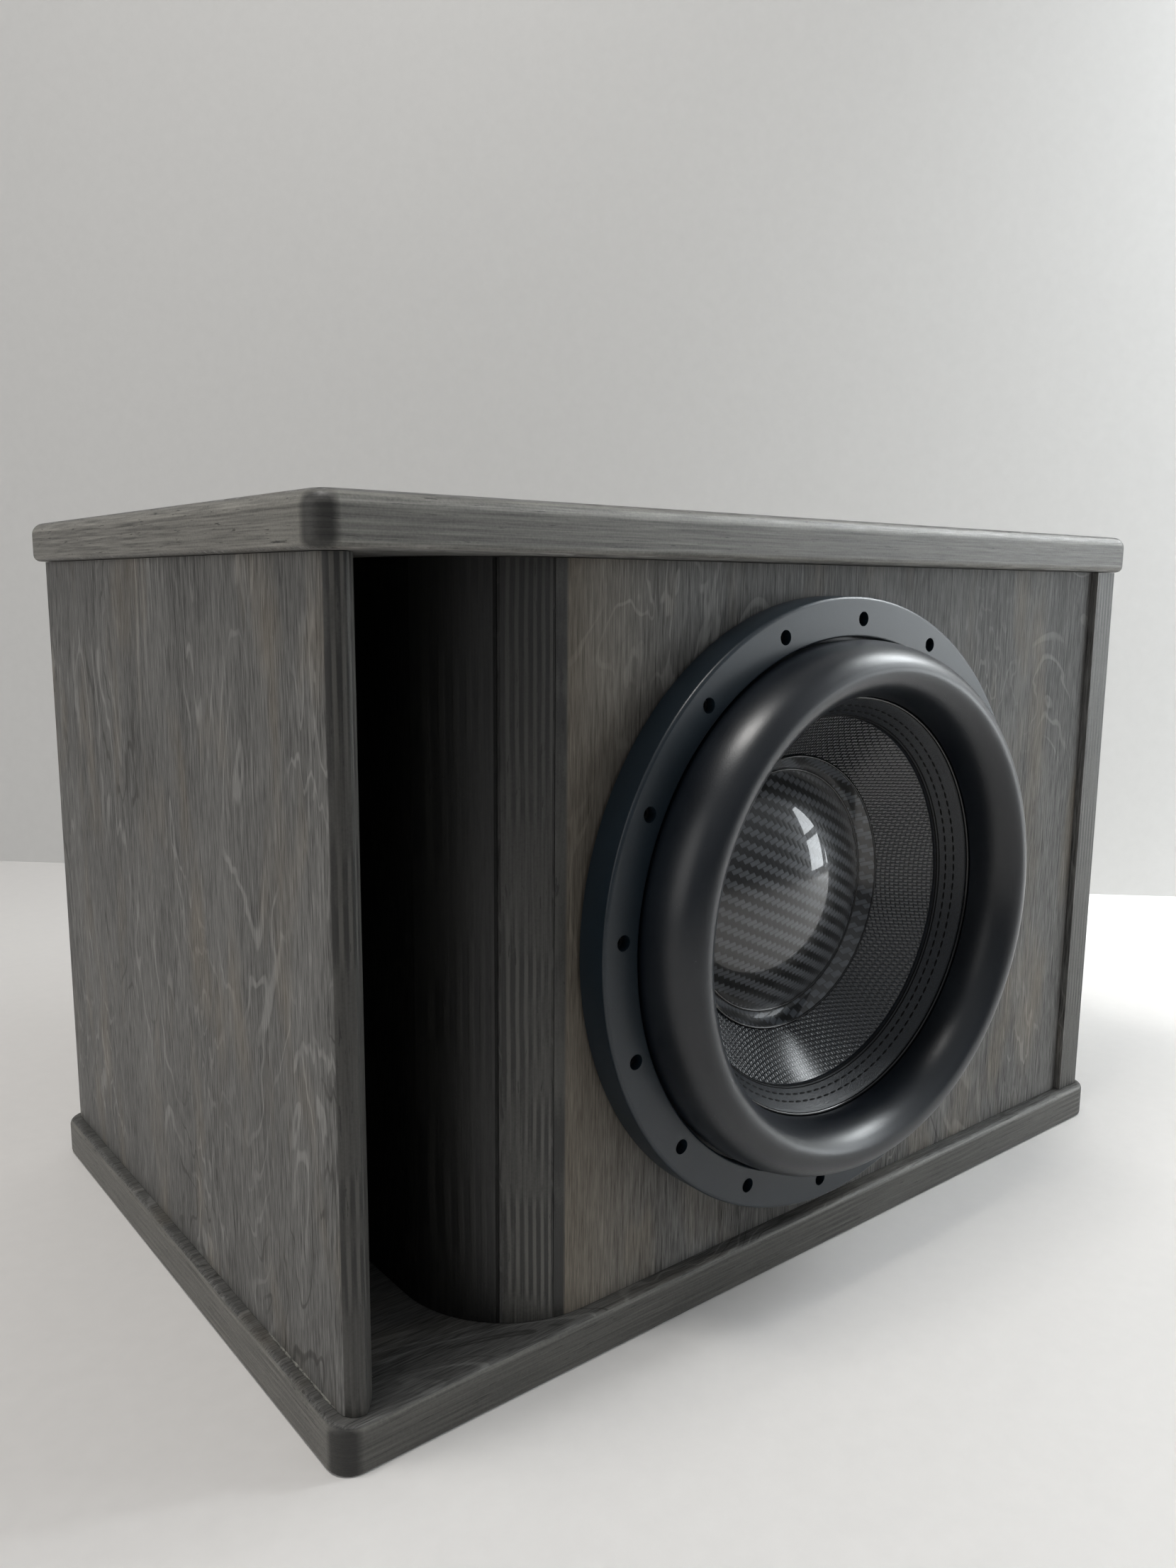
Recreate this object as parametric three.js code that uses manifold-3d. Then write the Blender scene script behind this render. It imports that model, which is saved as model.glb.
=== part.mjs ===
// A ported subwoofer cabinet: a box of stained plywood with a tall slot port beside a
// ten inch driver. Millimetres, +Z up, the driver faces -Y. The origin is the middle of
// the bottom board's underside.
import * as THREE from 'three';
import { mergeVertices } from 'three/addons/utils/BufferGeometryUtils.js';
import Module from 'manifold-3d';

const wasm = await Module();
wasm.setup();

// ---- Driving dimensions of the cabinet ----
const CABINET_WIDTH = 467;
const CABINET_DEPTH = 307;
const CABINET_HEIGHT = 320;
const BOARD = 18;
const GLUE_GAP = 0.25;
const SIDE_OVERHANG = 5.5;
const FRONT_OVERHANG = 4;
const BACK_OVERHANG = 5.5;
const BAFFLE_RECESS = 3;
const PLATE_CORNER_RADIUS = 9.5;
const TOP_EDGE_RADIUS = 5.5;
const BOARD_EDGE_RADIUS = 3;
const FOOT_EDGE_RADIUS = 1.5;
const SIDE_NOSE_RADIUS = 8;
const SIDE_FLARE_RADIUS = 30;
const SMALL_EDGE_RADIUS = 2;

// ---- The slot port ----
const PORT_WIDTH = 34.5;
const PORT_MOUTH_RADIUS = 50;
const CORNER_BLOCK_DEPTH = 60;
const PORT_BEND_RADIUS = 12;
const RETURN_WALL_LENGTH = 197;
const TURN_BLOCK_LEG = 30;

// ---- The window brace ----
const BRACE_FROM_RIGHT = 52;
const BRACE_MARGIN = 46;
const BRACE_WINDOW_RADIUS = 20;

// ---- The driver, with heights counted forwards from the baffle's face ----
const DRIVER_X = -1.5;
const RIM_RADIUS = 129.25;
const RIM_FRONT = 15.7;
const RIM_WIDTH = 16.25;
const RIM_EDGE_RADIUS = 1.5;
const BOLT_INSET = 9;
const BOLT_COUNT = 16;
const BOLT_PHASE = -3;
const HEAD_HOLE_RADIUS = 3;
const SHANK_HOLE_RADIUS = 1.9;
const HEAD_DEPTH = 6.5;
const GASKET_THICKNESS = 1.25;
const SURROUND_SEAT = 8;
const SEAT_WIDTH = 9;
const WALL_CLEARANCE = 1.5;
const ROLL_HALF_WIDTH = 10.4;
const ROLL_CENTRE_HEIGHT = 18.5;
const ROLL_RISE = 19;
const SURROUND_THICKNESS = 2.2;
const BAND_WIDTH = 9.4;
const BAND_DROP = 11.2;
const BAND_OUTER_HEIGHT = 17;
const BAND_THICKNESS = 1.4;
const CONE_THICKNESS = 1.4;
const CAP_RADIUS = 0.41934 * RIM_RADIUS;
const CAP_RING_WIDTH = 5.8;
const CAP_RISE = 19;
const CAP_THICKNESS = 1.1;
const FORMER_RADIUS = 38.2;
const FORMER_THICKNESS = 0.8;
const FORMER_LENGTH = 90;
const COIL_THICKNESS = 1.6;
const COIL_LENGTH = 46;
const COIL_CLEARANCE = 1;
const POLE_CLEARANCE = 1;
const VENT_RADIUS = 13;
const BOWL_BOTTOM = -95;
const SPIDER_SHELF = -62;
const SPIDER_OUTER_RADIUS = 0.64681 * RIM_RADIUS;
const SPIDER_LAND = 7.5;
const SPIDER_THICKNESS = 2.4;
const SPIDER_SPACER = 6;
const CAST_WALL = 4;
const TOP_PLATE_THICKNESS = 12;
const TOP_PLATE_RADIUS = 0.60348 * RIM_RADIUS;
const MAGNET_RADIUS = 0.68085 * RIM_RADIUS;
const MAGNET_BORE = FORMER_RADIUS + 9.8;
const MAGNET_THICKNESS = 22;
const BACK_PLATE_THICKNESS = 14;
const BACK_PLATE_RADIUS = 0.61896 * RIM_RADIUS;
const BOOT_THICKNESS = 3;
const WINDOW_COUNT = 8;
const PIECE_GAP = 0.3;

// ---- The terminal cup in the back panel ----
const CUP_FROM_RIGHT = 128;
const CUP_HEIGHT = 100;
const CUP_RADIUS = 30;
const CUP_FLANGE_RADIUS = 39;
const CUP_FLANGE_THICKNESS = 3;
const CUP_DEPTH = 22;
const CUP_WALL = 2.2;
const POST_SPACING = 19;
const POST_RADIUS = 2.4;
const KNOB_RADIUS = 6.5;
const KNOB_LENGTH = 17;
const WIRE_RADIUS = 1.8;
const LEAD_RADIUS = 1;

// ---- Planes and lines that follow from the sizes ----
const sideOuter = CABINET_WIDTH / 2 - SIDE_OVERHANG;
const sideInner = sideOuter - BOARD;
const sideFront = -CABINET_DEPTH / 2 + FRONT_OVERHANG;
const backFace = CABINET_DEPTH / 2 - BACK_OVERHANG;
const backInner = backFace - BOARD;
const baffleFront = sideFront + BAFFLE_RECESS;
const baffleBack = baffleFront + BOARD;
const wallBottom = BOARD + GLUE_GAP;
const wallHeight = CABINET_HEIGHT - 2 * (BOARD + GLUE_GAP);
const portWallLeft = -sideInner + PORT_WIDTH;
const portWallRight = portWallLeft + BOARD;
const mouthX = portWallLeft + PORT_MOUTH_RADIUS;
const mouthY = baffleFront + PORT_MOUTH_RADIUS;
const baffleLeft = portWallRight + BOARD + GLUE_GAP;
const returnBack = backInner - PORT_WIDTH;
const returnFront = returnBack - BOARD;
const returnEnd = portWallRight + RETURN_WALL_LENGTH;
const braceRight = sideInner - BRACE_FROM_RIGHT;
const driverZ = CABINET_HEIGHT / 2;
const cupX = sideInner - CUP_FROM_RIGHT + PIECE_GAP;

// ---- Turning geometries into solids and back ----
function weld(geometry) {
  const bare = geometry.clone();
  bare.deleteAttribute('normal');
  bare.deleteAttribute('uv');
  const merged = mergeVertices(bare, 1e-4);
  const index = merged.index.array;
  const kept = [];
  for (let i = 0; i < index.length; i += 3) {
    const [a, b, c] = [index[i], index[i + 1], index[i + 2]];
    if (a !== b && b !== c && c !== a) kept.push(a, b, c);
  }
  if (volumeOf(merged.attributes.position, kept) < 0) kept.reverse();
  const result = new THREE.BufferGeometry();
  result.setAttribute('position', merged.attributes.position);
  result.setIndex(kept);
  return result;
}

function volumeOf(position, index) {
  const [a, b, c] = [new THREE.Vector3(), new THREE.Vector3(), new THREE.Vector3()];
  let sum = 0;
  for (let i = 0; i < index.length; i += 3) {
    a.fromBufferAttribute(position, index[i]);
    b.fromBufferAttribute(position, index[i + 1]);
    c.fromBufferAttribute(position, index[i + 2]);
    sum += a.dot(b.cross(c)) / 6;
  }
  return sum;
}

function toSolid(geometry) {
  const closed = weld(geometry);
  return new wasm.Manifold(new wasm.Mesh({
    numProp: 3,
    vertProperties: new Float32Array(closed.attributes.position.array),
    triVerts: new Uint32Array(closed.index.array),
  }));
}

function toGeometry(solid) {
  const mesh = solid.getMesh();
  const geometry = new THREE.BufferGeometry();
  geometry.setAttribute('position', new THREE.BufferAttribute(mesh.vertProperties, 3));
  geometry.setIndex(new THREE.BufferAttribute(mesh.triVerts, 1));
  return geometry;
}

function cut(geometry, tools) {
  return toGeometry(tools.reduce((solid, tool) => solid.subtract(toSolid(tool)), toSolid(geometry)));
}

function common(first, second) {
  return toGeometry(toSolid(first).intersect(toSolid(second)));
}

// ---- Shape makers ----
function turned(profile, segments) {
  const points = profile.map(([radius, height]) => new THREE.Vector2(radius, height));
  const first = points[0];
  const last = points[points.length - 1];
  if (first.x > 0 || last.x > 0) points.push(first.clone());
  return weld(new THREE.LatheGeometry(points, segments));
}

function roundedRectangle(width, depth, radius) {
  const [x, y] = [width / 2, depth / 2];
  const shape = new THREE.Shape();
  shape.moveTo(-x + radius, -y);
  shape.lineTo(x - radius, -y);
  shape.absarc(x - radius, -y + radius, radius, -Math.PI / 2, 0);
  shape.lineTo(x, y - radius);
  shape.absarc(x - radius, y - radius, radius, 0, Math.PI / 2);
  shape.lineTo(-x + radius, y);
  shape.absarc(-x + radius, y - radius, radius, Math.PI / 2, Math.PI);
  shape.lineTo(-x, -y + radius);
  shape.absarc(-x + radius, -y + radius, radius, Math.PI, 1.5 * Math.PI);
  return shape;
}

function bevelled(shape, height, radius) {
  return new THREE.ExtrudeGeometry(shape, {
    depth: height - 2 * radius,
    curveSegments: 4,
    bevelSegments: 3,
    bevelThickness: radius,
    bevelSize: radius,
    bevelOffset: -radius,
  }).translate(0, 0, radius);
}

// A board with one radius along its upper edge and another along its lower edge.
function plate(upperRadius, lowerRadius) {
  const outline = roundedRectangle(CABINET_WIDTH, CABINET_DEPTH, PLATE_CORNER_RADIUS);
  const spare = BOARD;
  const upper = bevelled(outline, BOARD + spare, upperRadius).translate(0, 0, -spare);
  const lower = bevelled(outline, BOARD + spare, lowerRadius);
  return common(upper, lower);
}

// A wall stands between the two plates: its outline is seen from above.
function wall(shape) {
  return new THREE.ExtrudeGeometry(shape, { depth: wallHeight, bevelEnabled: false, curveSegments: 10 })
    .translate(0, 0, wallBottom);
}

function arcPoints(centreX, centreY, radius, from, to, steps) {
  return Array.from({ length: steps + 1 }, (_, i) => {
    const angle = THREE.MathUtils.degToRad(from + (to - from) * i / steps);
    return new THREE.Vector2(centreX + radius * Math.cos(angle), centreY + radius * Math.sin(angle));
  });
}

function cylinder(radius, length, segments) {
  return new THREE.CylinderGeometry(radius, radius, length, segments);
}

function tube(points, radius, steps) {
  const section = new THREE.Shape(arcPoints(0, 0, radius, 0, 300, 5));
  const path = new THREE.CatmullRomCurve3(points.map((p) => new THREE.Vector3(...p)));
  return new THREE.ExtrudeGeometry(section, { steps, extrudePath: path, bevelEnabled: false });
}

// ---- Colours of the finished surfaces ----
const finishes = {
  board: { color: 0x4d4c49, roughness: 0.55, metalness: 0 },
  portBoard: { color: 0x2e2c29, roughness: 0.6, metalness: 0 },
  castCoat: { color: 0x2b3136, roughness: 0.5, metalness: 0.2 },
  foam: { color: 0x1d2022, roughness: 0.55, metalness: 0 },
  band: { color: 0x25282a, roughness: 0.6, metalness: 0 },
  cloth: { color: 0x15171b, roughness: 0.3, metalness: 0 },
  carbon: { color: 0x101112, roughness: 0.08, metalness: 0 },
  rubber: { color: 0x161616, roughness: 0.8, metalness: 0 },
  steel: { color: 0x2a2b2d, roughness: 0.4, metalness: 0.9 },
  ferrite: { color: 0x3a3a3c, roughness: 0.7, metalness: 0.2 },
  copper: { color: 0xa8582e, roughness: 0.35, metalness: 0.9 },
  film: { color: 0x8d8f92, roughness: 0.4, metalness: 0.6 },
  spiderCloth: { color: 0xb59a5a, roughness: 0.85, metalness: 0 },
  plastic: { color: 0x141415, roughness: 0.45, metalness: 0 },
  gold: { color: 0xc79a3c, roughness: 0.25, metalness: 1 },
  red: { color: 0xa01616, roughness: 0.3, metalness: 0 },
  black: { color: 0x0d0d0e, roughness: 0.3, metalness: 0 },
  braid: { color: 0x9b8f80, roughness: 0.5, metalness: 0.8 },
};

function piece(name, geometry, finish) {
  const mesh = new THREE.Mesh(geometry, new THREE.MeshStandardMaterial(finishes[finish]));
  mesh.name = name;
  return mesh;
}

const cabinet = new THREE.Group();

// ---- Top and bottom boards ----
const bottomPanel = piece('bottom_panel', plate(BOARD_EDGE_RADIUS, FOOT_EDGE_RADIUS), 'board');
const topPanel = piece('top_panel', plate(TOP_EDGE_RADIUS, BOARD_EDGE_RADIUS), 'board');
topPanel.position.z = CABINET_HEIGHT - BOARD;
cabinet.add(bottomPanel, topPanel);

// ---- Side walls ----
// The left wall's front edge is a nose: a small round outside and a long flare into the port.
function leftWallShape() {
  const nose = arcPoints(
    -sideOuter + SIDE_NOSE_RADIUS, sideFront + SIDE_NOSE_RADIUS, SIDE_NOSE_RADIUS, 180, 262, 6);
  const flareX = -sideInner - SIDE_FLARE_RADIUS;
  const tip = nose[nose.length - 1];
  const flareEnd = -THREE.MathUtils.radToDeg(Math.acos((tip.x + 1 - flareX) / SIDE_FLARE_RADIUS));
  const flareY = tip.y - SIDE_FLARE_RADIUS * Math.sin(THREE.MathUtils.degToRad(flareEnd));
  const flare = arcPoints(flareX, flareY, SIDE_FLARE_RADIUS, flareEnd, 0, 8);
  const back = [
    new THREE.Vector2(-sideInner, backFace),
    ...arcPoints(-sideOuter + SMALL_EDGE_RADIUS, backFace - SMALL_EDGE_RADIUS, SMALL_EDGE_RADIUS, 90, 180, 4),
  ];
  return new THREE.Shape([...nose, ...flare, ...back]);
}

function rightWallShape() {
  const edge = SMALL_EDGE_RADIUS;
  return new THREE.Shape([
    new THREE.Vector2(sideInner, sideFront),
    ...arcPoints(sideOuter - edge, sideFront + edge, edge, -90, 0, 4),
    ...arcPoints(sideOuter - edge, backFace - edge, edge, 0, 90, 4),
    new THREE.Vector2(sideInner, backFace),
  ]);
}

cabinet.add(piece('left_side_panel', wall(leftWallShape()), 'board'));
cabinet.add(piece('right_side_panel', wall(rightWallShape()), 'board'));

// ---- The slot port: a wall, a laminated corner, a return wall and a turning block ----
function mouthPoint(x) {
  return new THREE.Vector2(x, mouthY - Math.sqrt(PORT_MOUTH_RADIUS ** 2 - (x - mouthX) ** 2));
}

function mouthAngle(x) {
  return 360 - THREE.MathUtils.radToDeg(Math.acos((x - mouthX) / PORT_MOUTH_RADIUS));
}

function mouthArc(fromX, toX, steps) {
  return arcPoints(mouthX, mouthY, PORT_MOUTH_RADIUS, mouthAngle(fromX), mouthAngle(toX), steps);
}

function portWallShape() {
  return new THREE.Shape([
    ...mouthArc(portWallLeft, portWallRight, 8),
    new THREE.Vector2(portWallRight, returnBack),
    ...arcPoints(portWallLeft + PORT_BEND_RADIUS, returnBack - PORT_BEND_RADIUS, PORT_BEND_RADIUS, 90, 180, 6),
  ]);
}

function cornerBlockShape() {
  const left = portWallRight + GLUE_GAP;
  const right = portWallRight + BOARD;
  const back = baffleFront + CORNER_BLOCK_DEPTH;
  return new THREE.Shape([
    ...mouthArc(left, right, 5),
    new THREE.Vector2(right, back),
    new THREE.Vector2(left, back),
  ]);
}

function returnWallShape() {
  const half = BOARD / 2;
  const left = portWallRight + GLUE_GAP;
  return new THREE.Shape([
    new THREE.Vector2(left, returnFront),
    ...arcPoints(returnEnd - half, returnFront + half, half, -90, 90, 8),
    new THREE.Vector2(left, returnBack),
  ]);
}

function turnBlockShape() {
  const [x, y] = [-sideInner + GLUE_GAP, backInner - GLUE_GAP];
  return new THREE.Shape([
    new THREE.Vector2(x, y - TURN_BLOCK_LEG),
    new THREE.Vector2(x + TURN_BLOCK_LEG, y),
    new THREE.Vector2(x, y),
  ]);
}

cabinet.add(piece('port_wall', wall(portWallShape()), 'portBoard'));
cabinet.add(piece('port_corner_block', wall(cornerBlockShape()), 'portBoard'));
cabinet.add(piece('port_return_wall', wall(returnWallShape()), 'portBoard'));
cabinet.add(piece('port_turn_block', wall(turnBlockShape()), 'portBoard'));

// ---- Front baffle with the driver's cut-out ----
const seatInner = RIM_RADIUS - RIM_WIDTH - SEAT_WIDTH;
const bowlTopRadius = RIM_RADIUS - RIM_WIDTH - 2;
const cutoutRadius = bowlTopRadius + WALL_CLEARANCE;
const boltRadius = RIM_RADIUS - BOLT_INSET;
const pilotRadius = 1.4;

function boltAngle(i) {
  return THREE.MathUtils.degToRad(BOLT_PHASE + 360 * i / BOLT_COUNT);
}

function baffleShape() {
  const right = sideInner - GLUE_GAP;
  const edge = SMALL_EDGE_RADIUS;
  return new THREE.Shape([
    ...mouthArc(baffleLeft, mouthX, 4),
    ...arcPoints(right - edge, baffleFront + edge, edge, -90, 0, 3),
    new THREE.Vector2(right, baffleBack),
    new THREE.Vector2(baffleLeft, baffleBack),
  ]);
}

function baffleGeometry() {
  const middle = (baffleFront + baffleBack) / 2;
  const opening = cylinder(cutoutRadius, 2 * BOARD, 48).translate(DRIVER_X, middle, driverZ);
  const pilots = Array.from({ length: BOLT_COUNT }, (_, i) => cylinder(pilotRadius, 2 * BOARD, 6).translate(
    DRIVER_X + boltRadius * Math.cos(boltAngle(i)), middle, driverZ + boltRadius * Math.sin(boltAngle(i))));
  return cut(wall(baffleShape()), [opening, ...pilots]);
}

cabinet.add(piece('front_baffle', baffleGeometry(), 'board'));

// ---- Back panel with the hole for the terminal cup ----
const cupHoleRadius = CUP_RADIUS + WALL_CLEARANCE;

function backPanelGeometry() {
  const half = sideInner - GLUE_GAP;
  const board = new THREE.BoxGeometry(2 * half, BOARD, wallHeight)
    .translate(0, backInner + BOARD / 2, wallBottom + wallHeight / 2);
  const hole = cylinder(cupHoleRadius, 2 * BOARD, 40).translate(cupX, backInner + BOARD / 2, CUP_HEIGHT);
  return cut(board, [hole]);
}

cabinet.add(piece('back_panel', backPanelGeometry(), 'board'));

// ---- Window brace from the baffle to the back panel ----
function braceGeometry() {
  const depth = backInner - baffleBack - 2 * GLUE_GAP;
  const outline = roundedRectangle(depth, wallHeight, 0.5);
  outline.holes.push(new THREE.Path(
    roundedRectangle(depth - 2 * BRACE_MARGIN, wallHeight - 2 * BRACE_MARGIN, BRACE_WINDOW_RADIUS).getPoints(4)));
  return new THREE.ExtrudeGeometry(outline, { depth: BOARD, bevelEnabled: false, curveSegments: 4 })
    .rotateX(Math.PI / 2)
    .rotateZ(Math.PI / 2)
    .translate(braceRight - BOARD, (baffleBack + backInner) / 2, CABINET_HEIGHT / 2);
}

cabinet.add(piece('window_brace', braceGeometry(), 'portBoard'));

// ---- The driver. In its group +Y is forwards and the baffle's face is y = 0. ----
const driver = new THREE.Group();
driver.position.set(DRIVER_X, baffleFront, driverZ);
driver.rotation.x = Math.PI;
cabinet.add(driver);

const rimInner = RIM_RADIUS - RIM_WIDTH;
const rimBack = PIECE_GAP + GASKET_THICKNESS + PIECE_GAP;
const spiderWallRadius = SPIDER_OUTER_RADIUS + PIECE_GAP;
const shelfInner = SPIDER_OUTER_RADIUS - SPIDER_LAND - CAST_WALL;
const bowlNeckHeight = -45;
const coilOuter = FORMER_RADIUS + PIECE_GAP + COIL_THICKNESS;
const plateBore = coilOuter + COIL_CLEARANCE;

function basketProfile() {
  const edge = RIM_EDGE_RADIUS;
  const rimEdge = arcPoints(RIM_RADIUS - edge, RIM_FRONT - edge, edge, 0, 90, 3).map((p) => [p.x, p.y]);
  const floorTop = BOWL_BOTTOM + 6.5;
  const wallOuter = spiderWallRadius + CAST_WALL;
  return [
    [RIM_RADIUS, rimBack],
    ...rimEdge,
    [rimInner + 0.8, RIM_FRONT],
    [rimInner, RIM_FRONT - 0.8],
    [rimInner, SURROUND_SEAT],
    [seatInner, SURROUND_SEAT],
    [seatInner, SURROUND_SEAT - CAST_WALL - 1],
    [spiderWallRadius, bowlNeckHeight],
    [spiderWallRadius, SPIDER_SHELF],
    [shelfInner, SPIDER_SHELF],
    [shelfInner, floorTop],
    [plateBore + 1, floorTop],
    [plateBore + 1, BOWL_BOTTOM],
    [TOP_PLATE_RADIUS + 2, BOWL_BOTTOM],
    [TOP_PLATE_RADIUS + 2, SPIDER_SHELF - CAST_WALL],
    [wallOuter, SPIDER_SHELF],
    [wallOuter, bowlNeckHeight],
    [bowlTopRadius, rimBack - 4],
    [bowlTopRadius, rimBack],
  ];
}

function around(count, phase, make) {
  return Array.from({ length: count }, (_, i) => make().rotateY(phase + 2 * Math.PI * i / count));
}

function basketGeometry() {
  const headHole = HEAD_DEPTH;
  const heads = Array.from({ length: BOLT_COUNT }, (_, i) => cylinder(HEAD_HOLE_RADIUS, 2 * headHole, 8).translate(
    boltRadius * Math.cos(boltAngle(i)), RIM_FRONT, -boltRadius * Math.sin(boltAngle(i))));
  const shanks = Array.from({ length: BOLT_COUNT }, (_, i) => cylinder(SHANK_HOLE_RADIUS, 3 * RIM_FRONT, 6).translate(
    boltRadius * Math.cos(boltAngle(i)), 0, -boltRadius * Math.sin(boltAngle(i))));
  const chord = 0.34 * RIM_RADIUS;
  const upper = around(WINDOW_COUNT, 0, () => new THREE.BoxGeometry(chord, 34, chord)
    .translate(spiderWallRadius + 14, bowlNeckHeight + 20, 0));
  const lower = around(WINDOW_COUNT, 0, () => new THREE.BoxGeometry(22, 15, 26).translate(shelfInner + 4, -77, 0));
  return cut(turned(basketProfile(), 48), [...heads, ...shanks, ...upper, ...lower]);
}

driver.add(piece('basket', basketGeometry(), 'castCoat'));
driver.add(piece('mounting_gasket', gasketGeometry(), 'rubber'));

function gasketGeometry() {
  const ring = turned([
    [cutoutRadius + 0.5, PIECE_GAP],
    [RIM_RADIUS - 1.5, PIECE_GAP],
    [RIM_RADIUS - 1.5, PIECE_GAP + GASKET_THICKNESS],
    [cutoutRadius + 0.5, PIECE_GAP + GASKET_THICKNESS],
  ], 48);
  const holes = Array.from({ length: BOLT_COUNT }, (_, i) => cylinder(SHANK_HOLE_RADIUS, RIM_FRONT, 6).translate(
    boltRadius * Math.cos(boltAngle(i)), 0, -boltRadius * Math.sin(boltAngle(i))));
  return cut(ring, holes);
}

// ---- Mounting screws: a socket head sunk in the rim and a shank in the baffle's pilot hole ----
function screwGeometry() {
  const headBottom = RIM_FRONT - HEAD_DEPTH + PIECE_GAP;
  const headTop = headBottom + 2.6;
  return turned([
    [0, headTop - 1.3],
    [1.3, headTop - 1.3],
    [1.3, headTop],
    [2.2, headTop],
    [2.6, headTop - 0.5],
    [2.6, headBottom],
    [1.15, headBottom],
    [1.15, -13],
    [0, -15],
  ], 8);
}

for (let i = 0; i < BOLT_COUNT; i += 1) {
  const screw = piece(`mounting_screw_${String(i + 1).padStart(2, '0')}`, screwGeometry(), 'steel');
  screw.position.set(boltRadius * Math.cos(boltAngle(i)), 0, -boltRadius * Math.sin(boltAngle(i)));
  driver.add(screw);
}

// ---- Moving assembly ----
const rollCentre = rimInner - 1 - ROLL_HALF_WIDTH - SURROUND_THICKNESS / 2;
const bandOuter = rollCentre - ROLL_HALF_WIDTH - SURROUND_THICKNESS / 2;
const bandInner = bandOuter - BAND_WIDTH;
const bandInnerHeight = BAND_OUTER_HEIGHT - BAND_DROP;
const capRingRadius = CAP_RADIUS + CAP_RING_WIDTH;
const capRingHeight = bandInnerHeight - (bandInner - capRingRadius);
const capEdgeHeight = capRingHeight - CAP_RING_WIDTH;
const neckRadius = FORMER_RADIUS + PIECE_GAP;
const neckHeight = capEdgeHeight - (CAP_RADIUS - neckRadius);

function rollSkin(offset, from, to, steps) {
  return Array.from({ length: steps + 1 }, (_, i) => {
    const angle = THREE.MathUtils.degToRad(from + (to - from) * i / steps);
    return [
      rollCentre + (ROLL_HALF_WIDTH + offset) * Math.cos(angle),
      ROLL_CENTRE_HEIGHT + (ROLL_RISE + offset) * Math.sin(angle),
    ];
  });
}

// The lip is glued to the basket's seat, then the half roll arches over to the cone's band.
function surroundProfile() {
  const half = SURROUND_THICKNESS / 2;
  const lipBottom = SURROUND_SEAT + PIECE_GAP;
  const lipTop = lipBottom + SURROUND_THICKNESS;
  const outer = rollSkin(half, -18, 180, 10);
  const inner = rollSkin(-half, 180, -8, 9);
  return [
    [seatInner + 1, lipBottom],
    [outer[0][0], lipBottom],
    ...outer,
    ...inner,
    [inner[inner.length - 1][0] - 1, lipTop],
    [seatInner + 1, lipTop],
  ];
}

function bandPoint(radius) {
  return [radius, bandInnerHeight + (radius - bandInner) * BAND_DROP / BAND_WIDTH];
}

function bandProfile() {
  const top = [bandInner, bandOuter - PIECE_GAP].map(bandPoint);
  return [top[1], ...top.map(([radius, height]) => [radius, height - BAND_THICKNESS]).reverse(), top[0]];
}

// The cone lies under the band and under the dust cap's ring, and ends at the former.
function conePoint(radius) {
  const drop = BAND_THICKNESS + PIECE_GAP;
  if (radius > bandInner) return [radius, bandPoint(radius)[1] - drop];
  return [radius, bandInnerHeight - drop - (bandInner - radius)];
}

function coneProfile() {
  const rim = conePoint(bandOuter - 1);
  const bend = conePoint(bandInner);
  const neck = conePoint(neckRadius);
  const thickness = CONE_THICKNESS * Math.SQRT2;
  return [rim, bend, neck]
    .concat([neck, bend, rim].map(([radius, height]) => [radius, height - thickness]));
}

function domeArc(offset, steps) {
  const radius = (CAP_RADIUS ** 2 + CAP_RISE ** 2) / (2 * CAP_RISE);
  const centre = capEdgeHeight + CAP_RISE - radius;
  const edgeAngle = Math.asin(CAP_RADIUS / radius);
  return Array.from({ length: steps + 1 }, (_, i) => {
    const angle = edgeAngle * i / steps;
    return [(radius + offset) * Math.sin(angle), centre + (radius + offset) * Math.cos(angle)];
  });
}

function capProfile() {
  return [
    ...domeArc(0, 6),
    [capRingRadius, capRingHeight],
    [capRingRadius + 0.3, capRingHeight - CAP_THICKNESS],
    [CAP_RADIUS + 0.3, capEdgeHeight - CAP_THICKNESS],
    ...domeArc(-CAP_THICKNESS, 6).reverse().slice(1),
  ];
}

function ringProfile(inner, outer, bottom, top) {
  return [[inner, bottom], [outer, bottom], [outer, top], [inner, top]];
}

const coneNeck = conePoint(neckRadius)[1];
const formerTop = coneNeck - PIECE_GAP;
const formerBottom = formerTop - FORMER_LENGTH;
const coilTop = BOWL_BOTTOM - PIECE_GAP - TOP_PLATE_THICKNESS / 2 + COIL_LENGTH / 2;

driver.add(piece('surround', turned(surroundProfile(), 48), 'foam'));
driver.add(piece('cone_band', turned(bandProfile(), 48), 'band'));
driver.add(piece('cone', turned(coneProfile(), 48), 'cloth'));
driver.add(piece('dust_cap', turned(capProfile(), 36), 'carbon'));
driver.add(piece('coil_former', turned(
  ringProfile(FORMER_RADIUS - FORMER_THICKNESS, FORMER_RADIUS, formerBottom, formerTop), 32), 'film'));
driver.add(piece('voice_coil', turned(
  ringProfile(FORMER_RADIUS + PIECE_GAP, coilOuter, coilTop - COIL_LENGTH, coilTop), 32), 'copper'));

// ---- Spiders and the ring between them ----
const rearSpiderBottom = SPIDER_SHELF + PIECE_GAP;
const spacerBottom = rearSpiderBottom + SPIDER_THICKNESS + PIECE_GAP;
const frontSpiderBottom = spacerBottom + SPIDER_SPACER + PIECE_GAP;

function spider(name, bottom) {
  const profile = ringProfile(FORMER_RADIUS + PIECE_GAP, SPIDER_OUTER_RADIUS, bottom, bottom + SPIDER_THICKNESS);
  return piece(name, turned(profile, 40), 'spiderCloth');
}

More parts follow.
